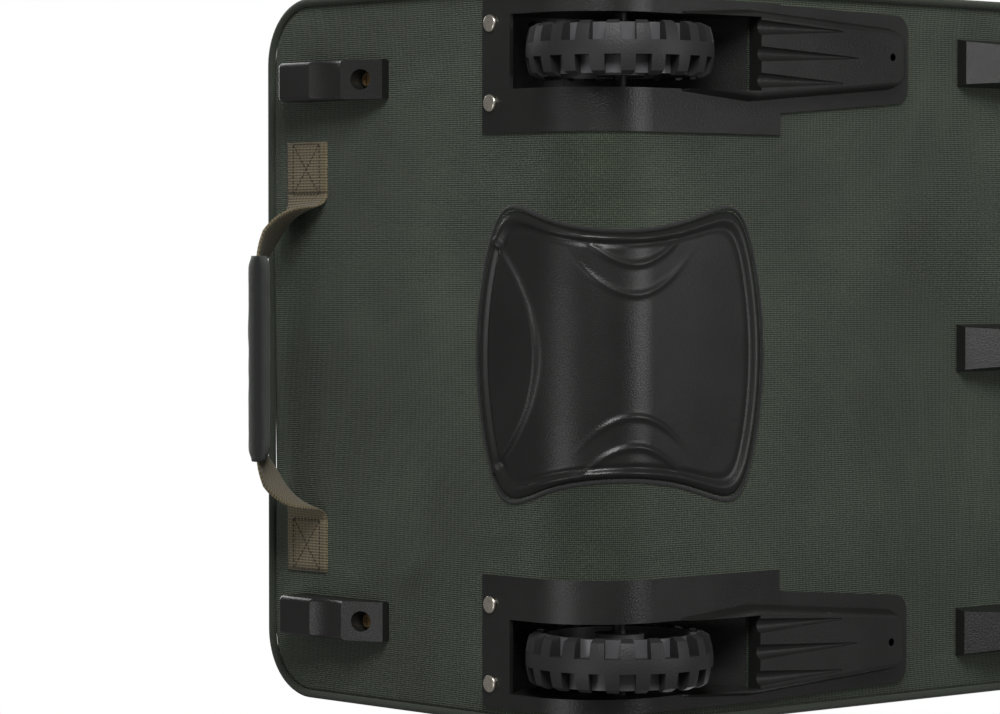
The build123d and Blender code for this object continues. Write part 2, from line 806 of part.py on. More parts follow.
def end_handle_webbing():
    """The free webbing of the wheel-end handle: one run from each tab to the near end of the grip."""
    x0 = wheel_end_x - web_mid
    x1 = wheel_end_x - grip_stand_off
    y1 = grip_length / 2
    runs = []
    for side in (-1, 1):
        path = [(x0, handle_tab_y), (x0, handle_tab_y - 6), (x1, y1 + 8), (x1, y1 + gap)]
        points = [(x, handle_shift + side * y, end_handle_z) for x, y in path]
        runs.append(ribbon(points, [8.0, 10.0], web_thickness, web_width, (0, 0, 1)))
    return Compound(children=runs)


def end_handle_grip():
    """The padded sleeve on the middle of the wheel-end handle, with the webbing sewn into its ends."""
    with BuildPart() as made:
        with BuildSketch(Plane.XZ.offset(-handle_shift - grip_length / 2)):
            with Locations((wheel_end_x - grip_stand_off, end_handle_z)):
                SlotOverall(grip_width, grip_thickness, rotation=90 - grip_tilt)
        extrude(amount=grip_length)
        fillet(made.edges().group_by(Axis.Y)[0] + made.edges().group_by(Axis.Y)[-1], 2)
    return made.part


carry_pivot_z = base_z + carry_pivot_height
carry_y = -(half_width + web_mid)


def carry_tabs():
    """The sewn upper ends of one carry handle, on the -Y side panel."""
    made = []
    for x in (-carry_x, carry_x):
        z = carry_pivot_z + carry_tab_height / 2 + gap
        made.append(Pos(x, carry_y, z) * Box(web_width, web_thickness, carry_tab_height))
    return Compound(children=made)


def carry_loop():
    """One carry handle, hanging down its side panel from its tabs."""
    y = carry_y
    z = carry_pivot_z
    low = z - carry_drop
    with BuildPart() as made:
        with BuildSketch(Plane.XZ.offset(-y - web_thickness / 2)):
            with BuildLine():
                corners = [(-carry_x, z), (-carry_x, low), (carry_x, low), (carry_x, z)]
                FilletPolyline(*corners, radius=carry_corner_radius)
                offset(amount=web_width / 2, side=Side.BOTH)
            make_face()
            with Locations((0, z + web_width)):
                Rectangle(bag_length, 2 * web_width, mode=Mode.SUBTRACT)
        extrude(amount=web_thickness)
    return made.part


# ---------------------------------------------------------------- pull handle
def tube(size, wall, x_low, x_high, y):
    """A rectangular tube along X."""
    with BuildPart() as made:
        with BuildSketch(Plane.YZ.offset(x_low)):
            with Locations((y, tube_z)):
                RectangleRounded(size[0], size[1], 3)
                RectangleRounded(size[0] - 2 * wall, size[1] - 2 * wall, 2, mode=Mode.SUBTRACT)
        extrude(amount=x_high - x_low)
    return made.part


def nested(size):
    """The size of the tube that slides inside a tube of this size."""
    inset = 2 * (tube_wall + tube_clearance)
    return (size[0] - inset, size[1] - inset)


def opening_for(size):
    """The size of an opening that a tube of this size slides through."""
    return (size[0] + 2 * tube_clearance, size[1] + 2 * tube_clearance)


mid_tube = nested(outer_tube)
inner_tube = nested(mid_tube)
bezel_x = pull_end_x + gap
bezel_out = bezel_x + bezel_thickness
grip_x = bezel_out + 4


def tubes(size, wall, x_low, x_high):
    """The same tube on both sides."""
    return Compound(children=[tube(size, wall, x_low, x_high, side * tube_y) for side in (-1, 1)])


def bezel():
    """The moulded plate round the tubes where they leave the bag."""
    with BuildPart() as made:
        with BuildSketch(Plane.YZ.offset(bezel_x)):
            with Locations((0, tube_z)):
                RectangleRounded(bezel_length, bezel_height, 12)
                with Locations((-tube_y, 0), (tube_y, 0)):
                    Rectangle(*opening_for(mid_tube), mode=Mode.SUBTRACT)
        extrude(amount=bezel_thickness)
        fillet(made.faces().sort_by(Axis.X)[-1].outer_wire().edges(), 2.5)
    return made.part


def tube_collars():
    """The caps on the middle tubes' outer ends, which rest on the bezel when the handle is in."""
    made = []
    for side in (-1, 1):
        with BuildPart() as collar:
            with BuildSketch(Plane.YZ.offset(bezel_out + gap)):
                with Locations((side * tube_y, tube_z)):
                    RectangleRounded(outer_tube[0], outer_tube[1], 4)
                    Rectangle(*opening_for(inner_tube), mode=Mode.SUBTRACT)
            extrude(amount=3)
        made.append(collar.part)
    return Compound(children=made)


def pull_grip():
    """The moulded grip across both inner tubes, with a pocket for the button."""
    with BuildPart() as made:
        with BuildSketch(Plane.YZ.offset(grip_x)):
            with Locations((0, tube_z)):
                RectangleRounded(pull_grip_length, pull_grip_height, 9)
        extrude(amount=pull_grip_depth)
        fillet(made.faces().sort_by(Axis.X)[-1].edges(), 5)
        fillet(made.faces().sort_by(Axis.X)[0].edges(), 2)
        with BuildSketch(Plane.YZ.offset(grip_x + pull_grip_depth)):
            with Locations((0, tube_z)):
                SlotOverall(button_length + 2 * gap, button_width + 2 * gap)
        extrude(amount=-2 * button_depth, mode=Mode.SUBTRACT)
    return made.part


def release_button():
    """The button that unlocks the tubes, standing out of the grip."""
    with BuildPart() as made:
        with BuildSketch(Plane.YZ.offset(grip_x + pull_grip_depth - button_depth)):
            with Locations((0, tube_z)):
                SlotOverall(button_length, button_width)
        extrude(amount=button_depth + button_stand_out)
        fillet(made.faces().sort_by(Axis.X)[-1].edges(), 1.5)
    return made.part


def tube_bracket():
    """The moulded bracket that holds the outer tubes' inner ends to the base board."""
    with BuildPart() as made:
        with BuildSketch(Plane.YZ.offset(outer_tube_start - bracket_length)):
            low = board_top_z + gap
            high = tube_z + outer_tube[1] / 2 + 3
            with Locations((0, (low + high) / 2)):
                RectangleRounded(2 * tube_y + outer_tube[0] + 16, high - low, 5)
        extrude(amount=bracket_length - gap)
        fillet(made.edges().filter_by(Axis.Y), 1.5)
    return made.part


def tube_saddles():
    """Clips that carry the outer tubes on the base board."""
    made = []
    for x in saddle_xs:
        for side in (-1, 1):
            with BuildPart() as saddle:
                with BuildSketch(Plane.YZ.offset(x)):
                    with Locations((side * tube_y, (board_top_z + gap + tube_z) / 2)):
                        Rectangle(outer_tube[0] + 12, tube_z - board_top_z - gap)
                    with Locations((side * tube_y, tube_z)):
                        Rectangle(outer_tube[0] + 2 * gap, outer_tube[1] + 2 * gap, mode=Mode.SUBTRACT)
                extrude(amount=saddle_length)
            made.append(saddle.part)
    return Compound(children=made)


# ---------------------------------------------------------------- write every piece
save(wheel_end_panel, "wheel_end_panel")
save(pull_end_panel, "pull_end_panel")
save(base_panel, "base_panel")
save(side_panel_left, "side_panel_left")
save(side_panel_right, "side_panel_right")
save(top_panel, "top_panel")
save(lid_panel, "lid_panel")
save(zip_chain, "zip_chain")
for slider_name, slider_x in slider_xs.items():
    save(zip_slider(slider_x), slider_name)
    save(zip_puller(slider_x), slider_name.replace("slider", "puller"))
save(piping.part, "piping")
save_pair(wheel_housing(), "wheel_housing")
save_pair(at_wheel(tyre()), "tyre")
save_pair(at_wheel(wheel_hub()), "wheel_hub")
save_pair(at_wheel(bearings()), "bearings")
save_pair(at_wheel(axle()), "axle")
save_pair(housing_rivets(), "housing_rivets")
save_pair(corner_foot(), "corner_foot")
save(edge_guard(), "edge_guard")
for side_name, y_place in zip(("left", "centre", "right"), runner_ys):
    save(runner(y_place), f"runner_{side_name}")
save(runner_screws(), "runner_screws")
save(housing_screws(), "housing_screws")
save(foot_screws(), "foot_screws")
save(end_handle_tabs(), "end_handle_tabs")
save(end_handle_webbing(), "end_handle_webbing")
save(end_handle_grip(), "end_handle_grip")
save_pair(carry_tabs(), "carry_tabs")
save_pair(carry_loop(), "carry_loop")
save(tubes(outer_tube, tube_wall, outer_tube_start, pull_end_x - 1), "outer_tubes")
save(tubes(mid_tube, tube_wall, mid_tube_start, bezel_out + gap), "mid_tubes")
save(tubes(inner_tube, tube_wall, inner_tube_start, grip_x), "inner_tubes")
save(bezel(), "handle_bezel")
save(tube_collars(), "tube_collars")
save(pull_grip(), "pull_grip")
save(release_button(), "release_button")
save(tube_bracket(), "tube_bracket")
save(tube_saddles(), "tube_saddles")
save(base_board_solid, "base_board")
save(end_board_solid, "end_board")
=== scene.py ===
"""Looks for the rolling duffel bag. Metres, +Z up, the bag lying on its wheels and runners, wheel end at -X.

Soft pieces are built here over the frame: the sewn shell, lid, piping, zip, webbing, grip and edge guard.
Hard pieces stay as they are in the frame and get their own materials.
"""

import json
from math import cos, exp, pi, radians, sin, sqrt

import bmesh
import bpy
from mathutils import Matrix, Vector, noise


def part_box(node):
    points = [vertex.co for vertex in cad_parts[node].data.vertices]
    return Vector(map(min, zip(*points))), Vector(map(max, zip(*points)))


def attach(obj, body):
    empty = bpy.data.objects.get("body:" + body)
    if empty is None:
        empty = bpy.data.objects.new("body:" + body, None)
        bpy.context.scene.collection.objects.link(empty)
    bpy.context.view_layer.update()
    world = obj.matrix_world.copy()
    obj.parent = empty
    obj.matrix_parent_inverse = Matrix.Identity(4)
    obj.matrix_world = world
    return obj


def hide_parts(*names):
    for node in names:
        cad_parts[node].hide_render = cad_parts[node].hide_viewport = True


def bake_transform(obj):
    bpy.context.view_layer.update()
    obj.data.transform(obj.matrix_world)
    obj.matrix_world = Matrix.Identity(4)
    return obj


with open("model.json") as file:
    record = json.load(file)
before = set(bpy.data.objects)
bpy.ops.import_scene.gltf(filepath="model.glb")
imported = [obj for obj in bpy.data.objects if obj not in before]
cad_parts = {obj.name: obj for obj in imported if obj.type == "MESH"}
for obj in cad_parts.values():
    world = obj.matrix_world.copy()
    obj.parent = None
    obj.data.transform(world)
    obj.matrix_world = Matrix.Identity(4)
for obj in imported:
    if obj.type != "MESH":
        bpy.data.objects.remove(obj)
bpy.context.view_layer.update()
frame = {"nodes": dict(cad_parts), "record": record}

# --- sizes read from the frame ---
end_low, end_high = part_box("wheel_end_panel")
_, pull_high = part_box("pull_end_panel")
lid_low, lid_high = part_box("lid_panel")
wheel_x = end_low.x
pull_x = pull_high.x
half_width = end_high.y
base_z = end_low.z
top_z = end_high.z

# --- sizes of the sewn shell ---
WHEEL_CORNER = 0.045
PULL_CORNER = 0.012
SHOULDER = 0.035
ZIP_WIDTH = 0.009
ZIP_GAP = 0.0004
LID_CORNER = 0.040
PIPING_RADIUS = 0.0023
PIPING_OFFSET = 0.0018
TOOTH = (0.00075, 0.0026, 0.0016)  # along the zip, across it, and high
STITCH = 0.0032
STITCH_PITCH = 0.0045
SEAM_INSETS = (0.0065, 0.0095)  # the two rows of the shell's seams, in from the piping
THREAD = 0.00035
WEB_WIDTH = 0.038
WEB_THICKNESS = 0.002
RIB_PITCH = 0.0017
LANE_PITCH = 0.0032
SHELL_SHOWN = 0.0016  # cloth thickness of the dressed shell
LID_SHOWN = 0.0018
GRIP_TILT = radians(41)


# ---------------------------------------------------------------- materials
def new_material(name, colour, roughness, metallic=0.0):
    """A material with its Principled shader's plain numbers set, and its nodes and links to add to."""
    made = bpy.data.materials.new(name)
    made.use_nodes = True
    tree = made.node_tree
    shader = tree.nodes["Principled BSDF"]
    shader.inputs["Base Color"].default_value = (*colour, 1)
    shader.inputs["Roughness"].default_value = roughness
    shader.inputs["Metallic"].default_value = metallic
    return made, tree, shader


def math_node(tree, operation, first, second=None, third=None):
    """A Math node whose inputs are links or plain numbers. Returns its output."""
    node = tree.nodes.new("ShaderNodeMath")
    node.operation = operation
    for index, value in enumerate((first, second, third)):
        if value is None:
            continue
        if isinstance(value, (int, float)):
            node.inputs[index].default_value = value
        else:
            tree.links.new(value, node.inputs[index])
    return node.outputs[0]


def noise_node(tree, vector, scale, detail=4.0, roughness=0.55):
    """A Noise texture over a coordinate. Returns its factor."""
    node = tree.nodes.new("ShaderNodeTexNoise")
    node.inputs["Scale"].default_value = scale
    node.inputs["Detail"].default_value = detail
    node.inputs["Roughness"].default_value = roughness
    tree.links.new(vector, node.inputs["Vector"])
    return node.outputs["Fac"]


def ramp(tree, factor, stops):
    """A colour ramp with (position, colour) stops. Returns its colour."""
    node = tree.nodes.new("ShaderNodeValToRGB")
    while len(node.color_ramp.elements) < len(stops):
        node.color_ramp.elements.new(0.5)
    for element, (position, colour) in zip(node.color_ramp.elements, stops):
        element.position = position
        element.color = (*colour, 1)
    tree.links.new(factor, node.inputs["Fac"])
    return node.outputs["Color"]


def bump(tree, shader, height, distance, strength=1.0):
    """Bumps a shader by a height of the given distance in metres."""
    node = tree.nodes.new("ShaderNodeBump")
    node.inputs["Distance"].default_value = distance
    node.inputs["Strength"].default_value = strength
    tree.links.new(height, node.inputs["Height"])
    tree.links.new(node.outputs["Normal"], shader.inputs["Normal"])


def coordinates(tree, kind):
    """Object or UV coordinates; both are in metres here."""
    return tree.nodes.new("ShaderNodeTexCoord").outputs[kind]


def mapped(tree, vector, scale, turn=0.0):
    """A coordinate scaled, and turned about Z."""
    node = tree.nodes.new("ShaderNodeMapping")
    node.inputs["Scale"].default_value = scale
    node.inputs["Rotation"].default_value = (0, 0, turn)
    tree.links.new(vector, node.inputs["Vector"])
    return node.outputs["Vector"]


def scaled_tone(colour, factor):
    """A colour made lighter or darker."""
    return tuple(min(channel * factor, 1) for channel in colour)


def cloth(name, colour, pitch, turn=0.0, contrast=0.35, depth=0.0003, sheen=0.25):
    """Woven cloth: over-and-under cells of the given pitch, uneven yarns and slow changes of tone; the colour
    is painted lighter on the raised cells and darker on the sunk ones, a painted shade and highlight on the
    weave.
    """
    made, tree, shader = new_material(name, colour, 0.78)
    uv = coordinates(tree, "UV")
    cells = mapped(tree, uv, (2 * pi / pitch, 2 * pi / pitch, 1), turn)
    split = tree.nodes.new("ShaderNodeSeparateXYZ")
    tree.links.new(cells, split.inputs[0])
    warp = math_node(tree, "SINE", split.outputs[0])
    weft = math_node(tree, "SINE", split.outputs[1])
    over = math_node(tree, "MULTIPLY", warp, weft)
    yarn = noise_node(tree, uv, 1.4 / pitch, 2.0)
    slow = noise_node(tree, uv, 9.0, 5.0)
    height = math_node(tree, "MULTIPLY_ADD", over, 0.5, math_node(tree, "MULTIPLY", yarn, 0.6))
    uneven = math_node(tree, "MULTIPLY_ADD", yarn, 0.5, math_node(tree, "MULTIPLY", slow, 0.5))
    # tone: painted shade and highlight from the weave's over-and-under cells, added to the yarns' own uneven
    # tone
    tone = math_node(tree, "MULTIPLY_ADD", over, 0.22, uneven)
    shaded = scaled_tone(colour, 1 - contrast)
    lit = scaled_tone(colour, 1 + 3.2 * contrast)
    colour_out = ramp(tree, tone, [(0.15, shaded), (0.55, colour), (0.85, lit)])
    tree.links.new(colour_out, shader.inputs["Base Color"])
    shader.inputs["Sheen Weight"].default_value = sheen
    shader.inputs["Sheen Roughness"].default_value = 0.45
    shader.inputs["Sheen Tint"].default_value = (0.75, 0.8, 0.72, 1)
    bump(tree, shader, height, depth)
    return made


def webbing(name, colour):
    """Ribbed webbing: cross ribs over two lengthwise lanes, with a fine heather; the ribs and lanes are
    painted lighter where they stand up and darker between them, a painted shade.
    """
    made, tree, shader = new_material(name, colour, 0.72)
    uv = coordinates(tree, "UV")
    split = tree.nodes.new("ShaderNodeSeparateXYZ")
    tree.links.new(uv, split.inputs[0])
    along = math_node(tree, "SINE", math_node(tree, "MULTIPLY", split.outputs[0], 2 * pi / RIB_PITCH))
    across = math_node(tree, "SINE", math_node(tree, "MULTIPLY", split.outputs[1], 2 * pi / LANE_PITCH))
    heather = noise_node(tree, mapped(tree, uv, (900, 2600, 1)), 1.0, 3.0)
    lanes_height = math_node(tree, "MULTIPLY_ADD", across, 0.25, heather)
    # the tone follows the ribs' and lanes' height: painted shade between them, added to the webbing's own
    # heather
    lanes_tone = math_node(tree, "MULTIPLY_ADD", across, 0.08, heather)
    height = math_node(tree, "MULTIPLY_ADD", along, 0.5, lanes_height)
    tone = math_node(tree, "MULTIPLY_ADD", along, 0.16, lanes_tone)
    tree.links.new(
        ramp(tree, tone, [(0.2, scaled_tone(colour, 0.5)), (0.5, colour), (0.85, scaled_tone(colour, 1.7))]),
        shader.inputs["Base Color"],
    )
    shader.inputs["Sheen Weight"].default_value = 0.2
    bump(tree, shader, height, 0.0004)
    return made


def moulded(name, colour, roughness, grain=0.00012, grain_scale=1400.0, edge_wear_and_highlight=1.6):
    """Moulded plastic or rubber: fine spark-eroded grain, slow changes of gloss, and paler sharp edges:
    partly wear, partly a painted highlight.
    """
    made, tree, shader = new_material(name, colour, roughness)
    place = coordinates(tree, "Object")
    fine = noise_node(tree, place, grain_scale, 3.0)
    slow = noise_node(tree, place, 18.0, 4.0)
    gloss = math_node(tree, "MULTIPLY_ADD", slow, 0.22, roughness - 0.11)
    tree.links.new(gloss, shader.inputs["Roughness"])
    # paler where the mesh is pointy: partly wear, partly a painted highlight along the edges
    pointed = tree.nodes.new("ShaderNodeNewGeometry").outputs["Pointiness"]
    edge = math_node(tree, "MULTIPLY_ADD", pointed, 3.0, math_node(tree, "MULTIPLY", slow, 0.25))
    tone = ramp(tree, edge, [(1.2 / 2, colour), (1.0, scaled_tone(colour, edge_wear_and_highlight))])
    mottled = tree.nodes.new("ShaderNodeMix")
    mottled.data_type = "RGBA"
    tree.links.new(slow, mottled.inputs["Factor"])
    mottled.inputs["A"].default_value = (*scaled_tone(colour, 0.8), 1)
    tree.links.new(tone, mottled.inputs["B"])
    tree.links.new(mottled.outputs["Result"], shader.inputs["Base Color"])
    bump(tree, shader, fine, grain)
    return made


def metal(name, colour, roughness, scratches=(40.0, 900.0, 900.0)):
    """Metal with fine drawn scratches."""
    made, tree, shader = new_material(name, colour, roughness, 1.0)
    place = coordinates(tree, "Object")
    lines = noise_node(tree, mapped(tree, place, scratches), 1.0, 4.0)
    tree.links.new(math_node(tree, "MULTIPLY_ADD", lines, 0.2, roughness - 0.1), shader.inputs["Roughness"])
    tree.links.new(
        ramp(tree, lines, [(0.3, scaled_tone(colour, 0.82)), (0.7, colour)]), shader.inputs["Base Color"]
    )
    bump(tree, shader, lines, 0.00004)
    return made


GREEN = (0.036, 0.049, 0.030)
BLACK = (0.0085, 0.0090, 0.0082)
looks = {
    "bag_cloth": cloth("bag_cloth", GREEN, 0.0017, pi / 4, contrast=0.85, depth=0.0009, sheen=0.22),
    "piping": cloth("piping_binding", (0.030, 0.038, 0.026), 0.0011, 0.3, depth=0.0002),
    "webbing": webbing("brown_webbing", (0.165, 0.134, 0.074)),
    "grip_sleeve": cloth("grip_cloth", (0.016, 0.016, 0.017), 0.0009, pi / 4, depth=0.0002, sheen=0.3),
    "moulding": moulded("grained_moulding", BLACK, 0.33, grain=0.00020, grain_scale=1000.0, edge_wear_and_highlight=2.4),
    "guard_plastic": moulded("guard_moulding", BLACK, 0.33, grain=0.00014, grain_scale=1100.0, edge_wear_and_highlight=2.0),
    "tread": moulded("tyre_rubber", (0.018, 0.018, 0.019), 0.50, grain=0.0002, grain_scale=900.0),
    "hub": moulded("hub_plastic", (0.10, 0.10, 0.105), 0.32, grain=0.00004),
    "steel": metal("plain_steel", (0.55, 0.55, 0.56), 0.32),
    "rivet": metal("nickel_rivet", (0.86, 0.80, 0.69), 0.30, (500.0, 500.0, 500.0)),
    "brass_screw": metal("brass_screw", (0.30, 0.20, 0.10), 0.38, (500.0, 500.0, 500.0)),
    "zip_tape": cloth("zip_tape", (0.016, 0.018, 0.015), 0.0008),
    "zip_metal": metal("zip_gunmetal", (0.10, 0.10, 0.10), 0.35, (500.0, 500.0, 500.0)),
    "puller_rubber": moulded("puller_rubber", (0.02, 0.02, 0.021), 0.5),
    "tube_metal": metal("anodised_tube", (0.42, 0.42, 0.43), 0.33),
    "handle_plastic": moulded("handle_moulding", (0.018, 0.018, 0.019), 0.38),
    "button_plastic": moulded("button_moulding", (0.07, 0.07, 0.075), 0.3),
    "inner_board": moulded("inner_board", (0.04, 0.04, 0.04), 0.55),
}
lining = cloth("lining_cloth", (0.045, 0.046, 0.044), 0.0008)
thread = cloth("seam_thread", (0.020, 0.025, 0.018), 0.0006)
brown_thread = cloth("webbing_thread", (0.040, 0.028, 0.017), 0.0006)

slots = {entry["node"]: entry["material_slot"] for entry in frame["record"]["subparts"]}
# the steel axles get a near-black colour: painted shade inside the wheel wells, not the steel's own colour
looks["axle"] = moulded("axle_dark_as_painted_shade", (0.010, 0.010, 0.010), 0.5)
for node_name, node in frame["nodes"].items():
    look = "axle" if node_name.startswith("axle") else slots[node_name]
    node.data.materials.clear()
    node.data.materials.append(looks[look])


# ---------------------------------------------------------------- mesh helpers
def finish_piece(name, made, material, body, smooth=True):
    """Turns a bmesh into a named object that rides on a body."""
    mesh = bpy.data.meshes.new(name)
    made.to_mesh(mesh)
    made.free()
    piece = bpy.data.objects.new(name, mesh)
    bpy.context.scene.collection.objects.link(piece)
    mesh.materials.append(material)
    if smooth:
        for face in mesh.polygons:
            face.use_smooth = True
    if body:
        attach(piece, body)
    return piece


def surface(rows, columns, point, keep=None, closed=False):
    """A bmesh grid. point(i, j) gives (position, uv); keep(position) says which faces stay."""
    made = bmesh.new()
    layer = made.loops.layers.uv.new("UVMap")
    grid = [[point(i, j) for j in range(columns)] for i in range(rows)]
    verts = [[made.verts.new(place) for place, _ in row] for row in grid]
    for i in range(rows - 1):
        for j in range(columns - 1 + (1 if closed else 0)):
            k = (j + 1) % columns
            corners = [(i, j), (i, k), (i + 1, k), (i + 1, j)]
            middle = sum((grid[a][b][0] for a, b in corners), Vector()) / 4
            if keep and not keep(middle):
                continue
            face = made.faces.new([verts[a][b] for a, b in corners])
            for loop, (a, b) in zip(face.loops, corners):
                loop[layer].uv = grid[a][b][1]
    loose = [v for v in made.verts if not v.link_faces]
    bmesh.ops.delete(made, geom=loose, context="VERTS")
    return made


def rounded_path(corners, radii, closed=False, step=0.004):
    """Points along straight runs joined by arcs. radii has one radius for each corner that turns."""
    count = len(corners)
    corners = [Vector(c) for c in corners]
    turning = range(count) if closed else range(1, count - 1)
    points = [] if closed else [corners[0]]
    for place, radius in zip(turning, radii):
        here = corners[place]
        back = (corners[place - 1] - here).normalized()
        ahead = (corners[(place + 1) % count] - here).normalized()
        half = back.angle(ahead) / 2
        reach = radius / (sin(half) / cos(half))
        centre = here + (back + ahead).normalized() * radius / sin(half)
        start = here + back * reach - centre
        end = here + ahead * reach - centre
        steps = max(2, round(start.angle(end) * radius / step))
        for i in range(steps + 1):
            points.append(centre + start.slerp(end, i / steps).normalized() * start.length)
    if not closed:
        points.append(corners[-1])
    return evened(points, step, closed)


def evened(points, step, closed, count=None):
    """The same line with points an even step apart, or with a given number of steps."""
    line = points + [points[0]] if closed else points
    spans = [(b - a).length for a, b in zip(line, line[1:])]
    count = count or max(2, round(sum(spans) / step))
    wanted = [sum(spans) * i / count for i in range(count if closed else count + 1)]
    made = []
    place, done = 0, 0.0
    for goal in wanted:
        while place < len(spans) - 1 and done + spans[place] < goal:
            done += spans[place]
            place += 1
        share = (goal - done) / spans[place] if spans[place] else 0
        made.append(line[place].lerp(line[place + 1], min(max(share, 0), 1)))
    return made


def tube(points, radius, sides=12, closed=False):
    """A tube along points, its rings carried round the line without twist."""
    count = len(points)
    ahead = []
    for i in range(count):
        following = points[(i + 1) % count if closed else min(i + 1, count - 1)]
        before = points[i - 1 if closed else max(i - 1, 0)]
        ahead.append((following - before).normalized())
    side = ahead[0].orthogonal().normalized()
    rings = []
    for direction in ahead:
        side = (side - direction * side.dot(direction)).normalized()
        rings.append((side.copy(), direction.cross(side)))
    step = (points[1] - points[0]).length

    def ring_point(i, j):
        turn = 2 * pi * j / sides
        k = i % count
        a, b = rings[k]
        return points[k] + (a * cos(turn) + b * sin(turn)) * radius, (i * step, turn * radius)

    made = surface(count, sides, ring_point, closed=True)
    if closed:
        bmesh.ops.bridge_loops(made, edges=[e for e in made.edges if e.is_boundary])
    else:
        bmesh.ops.holes_fill(made, edges=[e for e in made.edges if e.is_boundary])
    return made


def add_stitches(made, points, normals, length=STITCH, pitch=STITCH_PITCH, radius=THREAD):
    """Adds a row of short threads lying along points, each sunk a little at its ends."""
    spans = evened(points, pitch, False)
    for here, there in zip(spans, spans[1:]):
        along = (there - here).normalized()
        middle = (here + there) / 2
        nearest = min(range(len(points)), key=lambda k: (points[k] - middle).length_squared)
        normal = normals[nearest]
        side = along.cross(normal).normalized()
        rings = []
        for offset, rise, size in ((-0.5, -0.6, 0.4), (-0.3, 0.3, 1), (0.3, 0.3, 1), (0.5, -0.6, 0.4)):
            centre = middle + along * length * offset + normal * radius * rise
            rings.append(
                [
                    made.verts.new(centre + (side * cos(t) + normal * sin(t)) * radius * size)
                    for t in (0, pi / 2, pi, 3 * pi / 2)
                ]
            )
        for first, second in zip(rings, rings[1:]):
            for k in range(4):
                made.faces.new((first[k], first[(k + 1) % 4], second[(k + 1) % 4], second[k]))


def solid(piece, thickness, offset=-1.0, inner=None):
    """Gives a sheet of mesh its thickness, with another material inside if one is named."""
    if inner:
        piece.data.materials.append(inner)
    made = piece.modifiers.new("thickness", "SOLIDIFY")
    made.thickness = thickness
    made.offset = offset
    if inner:
        made.material_offset = 1
        made.material_offset_rim = 0
    return piece


# ---------------------------------------------------------------- the sewn shell
end_arc = WHEEL_CORNER * pi / 2
pull_arc = PULL_CORNER * pi / 2
end_run = top_z - base_z - WHEEL_CORNER
base_run = pull_x - wheel_x - WHEEL_CORNER - PULL_CORNER
pull_run = top_z - base_z - PULL_CORNER


def strip_frame(s):
    """Place and outward direction in X and Z at s along the strip: wheel end, base, then pull end."""
    if s <= end_run:
        return wheel_x, top_z - s, -1.0, 0.0
    s -= end_run
    if s <= end_arc:
        turn = s / WHEEL_CORNER
        nx, nz = -cos(turn), -sin(turn)
        return wheel_x + WHEEL_CORNER * (1 + nx), base_z + WHEEL_CORNER * (1 + nz), nx, nz
    s -= end_arc
    if s <= base_run:
        return wheel_x + WHEEL_CORNER + s, base_z, 0.0, -1.0
    s -= base_run
    if s <= pull_arc:
        turn = s / PULL_CORNER
        nx, nz = sin(turn), -cos(turn)
        return pull_x - PULL_CORNER * (1 - nx), base_z + PULL_CORNER * (1 + nz), nx, nz
    return pull_x, base_z + PULL_CORNER + s - pull_arc, 1.0, 0.0


strip_length = end_run + end_arc + base_run + pull_arc + pull_run


def half_width_at(z):
    """Half the bag's width at a height: narrower where the shoulders round off."""
    over = z - (top_z - SHOULDER)
    if over <= 0:
        return half_width
    return half_width - SHOULDER + sqrt(max(SHOULDER**2 - over**2, 0))


foot_low, foot_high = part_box("corner_foot_left")
tabs_low, tabs_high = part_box("end_handle_tabs")
_, guard_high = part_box("edge_guard")
housing_low, housing_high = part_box("wheel_housing_left")
end_middle = end_run - (foot_low.z + foot_high.z) / 2 + base_z + WHEEL_CORNER
guard_x = guard_high.x
HOLD_FADE = 0.02  # how far the cloth takes to come free of a hard piece
TAB_INNER = 0.094
RUNNER_FROM = wheel_x + 0.29
RUNNER_TO = pull_x - 0.04
OUTER_RUNNER = (0.15, 0.192)
CENTRE_RUNNER = (-0.001, 0.02)
WELL_INNER = 0.1467
WELL_OUTER = 0.1943
WELL_REACH = 0.122
WELL_RISE = 0.066
BEZEL_HALF = 0.085
BEZEL_LOW = 0.048
BEZEL_HIGH = 0.072


def under_hard_piece(s, y):
    """1 where a hard piece or tab lies on the strip, falling to 0 a little way off."""
    x, z, _, _ = strip_frame(s)
    best = 1.0
    boxes = (
        (foot_low.z, foot_high.z, -foot_high.y, -foot_low.y),
        (tabs_low.z, tabs_high.z, TAB_INNER, tabs_high.y),
        (base_z, housing_high.z, -housing_high.y, -housing_low.y),
        (base_z, guard_high.z, -0.001, guard_high.y),
    )
    if s < end_run + end_arc:
        for z_low, z_high, y_low, y_high in boxes:
            dz = max(z_low - z, z - z_high, 0)
            dy = max(y_low - abs(y), abs(y) - y_high, 0)
            best = min(best, sqrt(dz**2 + dy**2) / HOLD_FADE)
    else:
        flats = (
            (wheel_x, housing_high.x, -housing_high.y, -housing_low.y),
            (wheel_x, guard_x, -0.001, guard_high.y),
            (RUNNER_FROM, RUNNER_TO, *OUTER_RUNNER),
            (RUNNER_FROM, RUNNER_TO, *CENTRE_RUNNER),
        )
        for x_low, x_high, y_low, y_high in flats:
            dx = max(x_low - x, x - x_high, 0)
            dy = max(y_low - abs(y), abs(y) - y_high, 0)
            best = min(best, sqrt(dx**2 + dy**2) / HOLD_FADE)
    return 1 - min(best, 1)


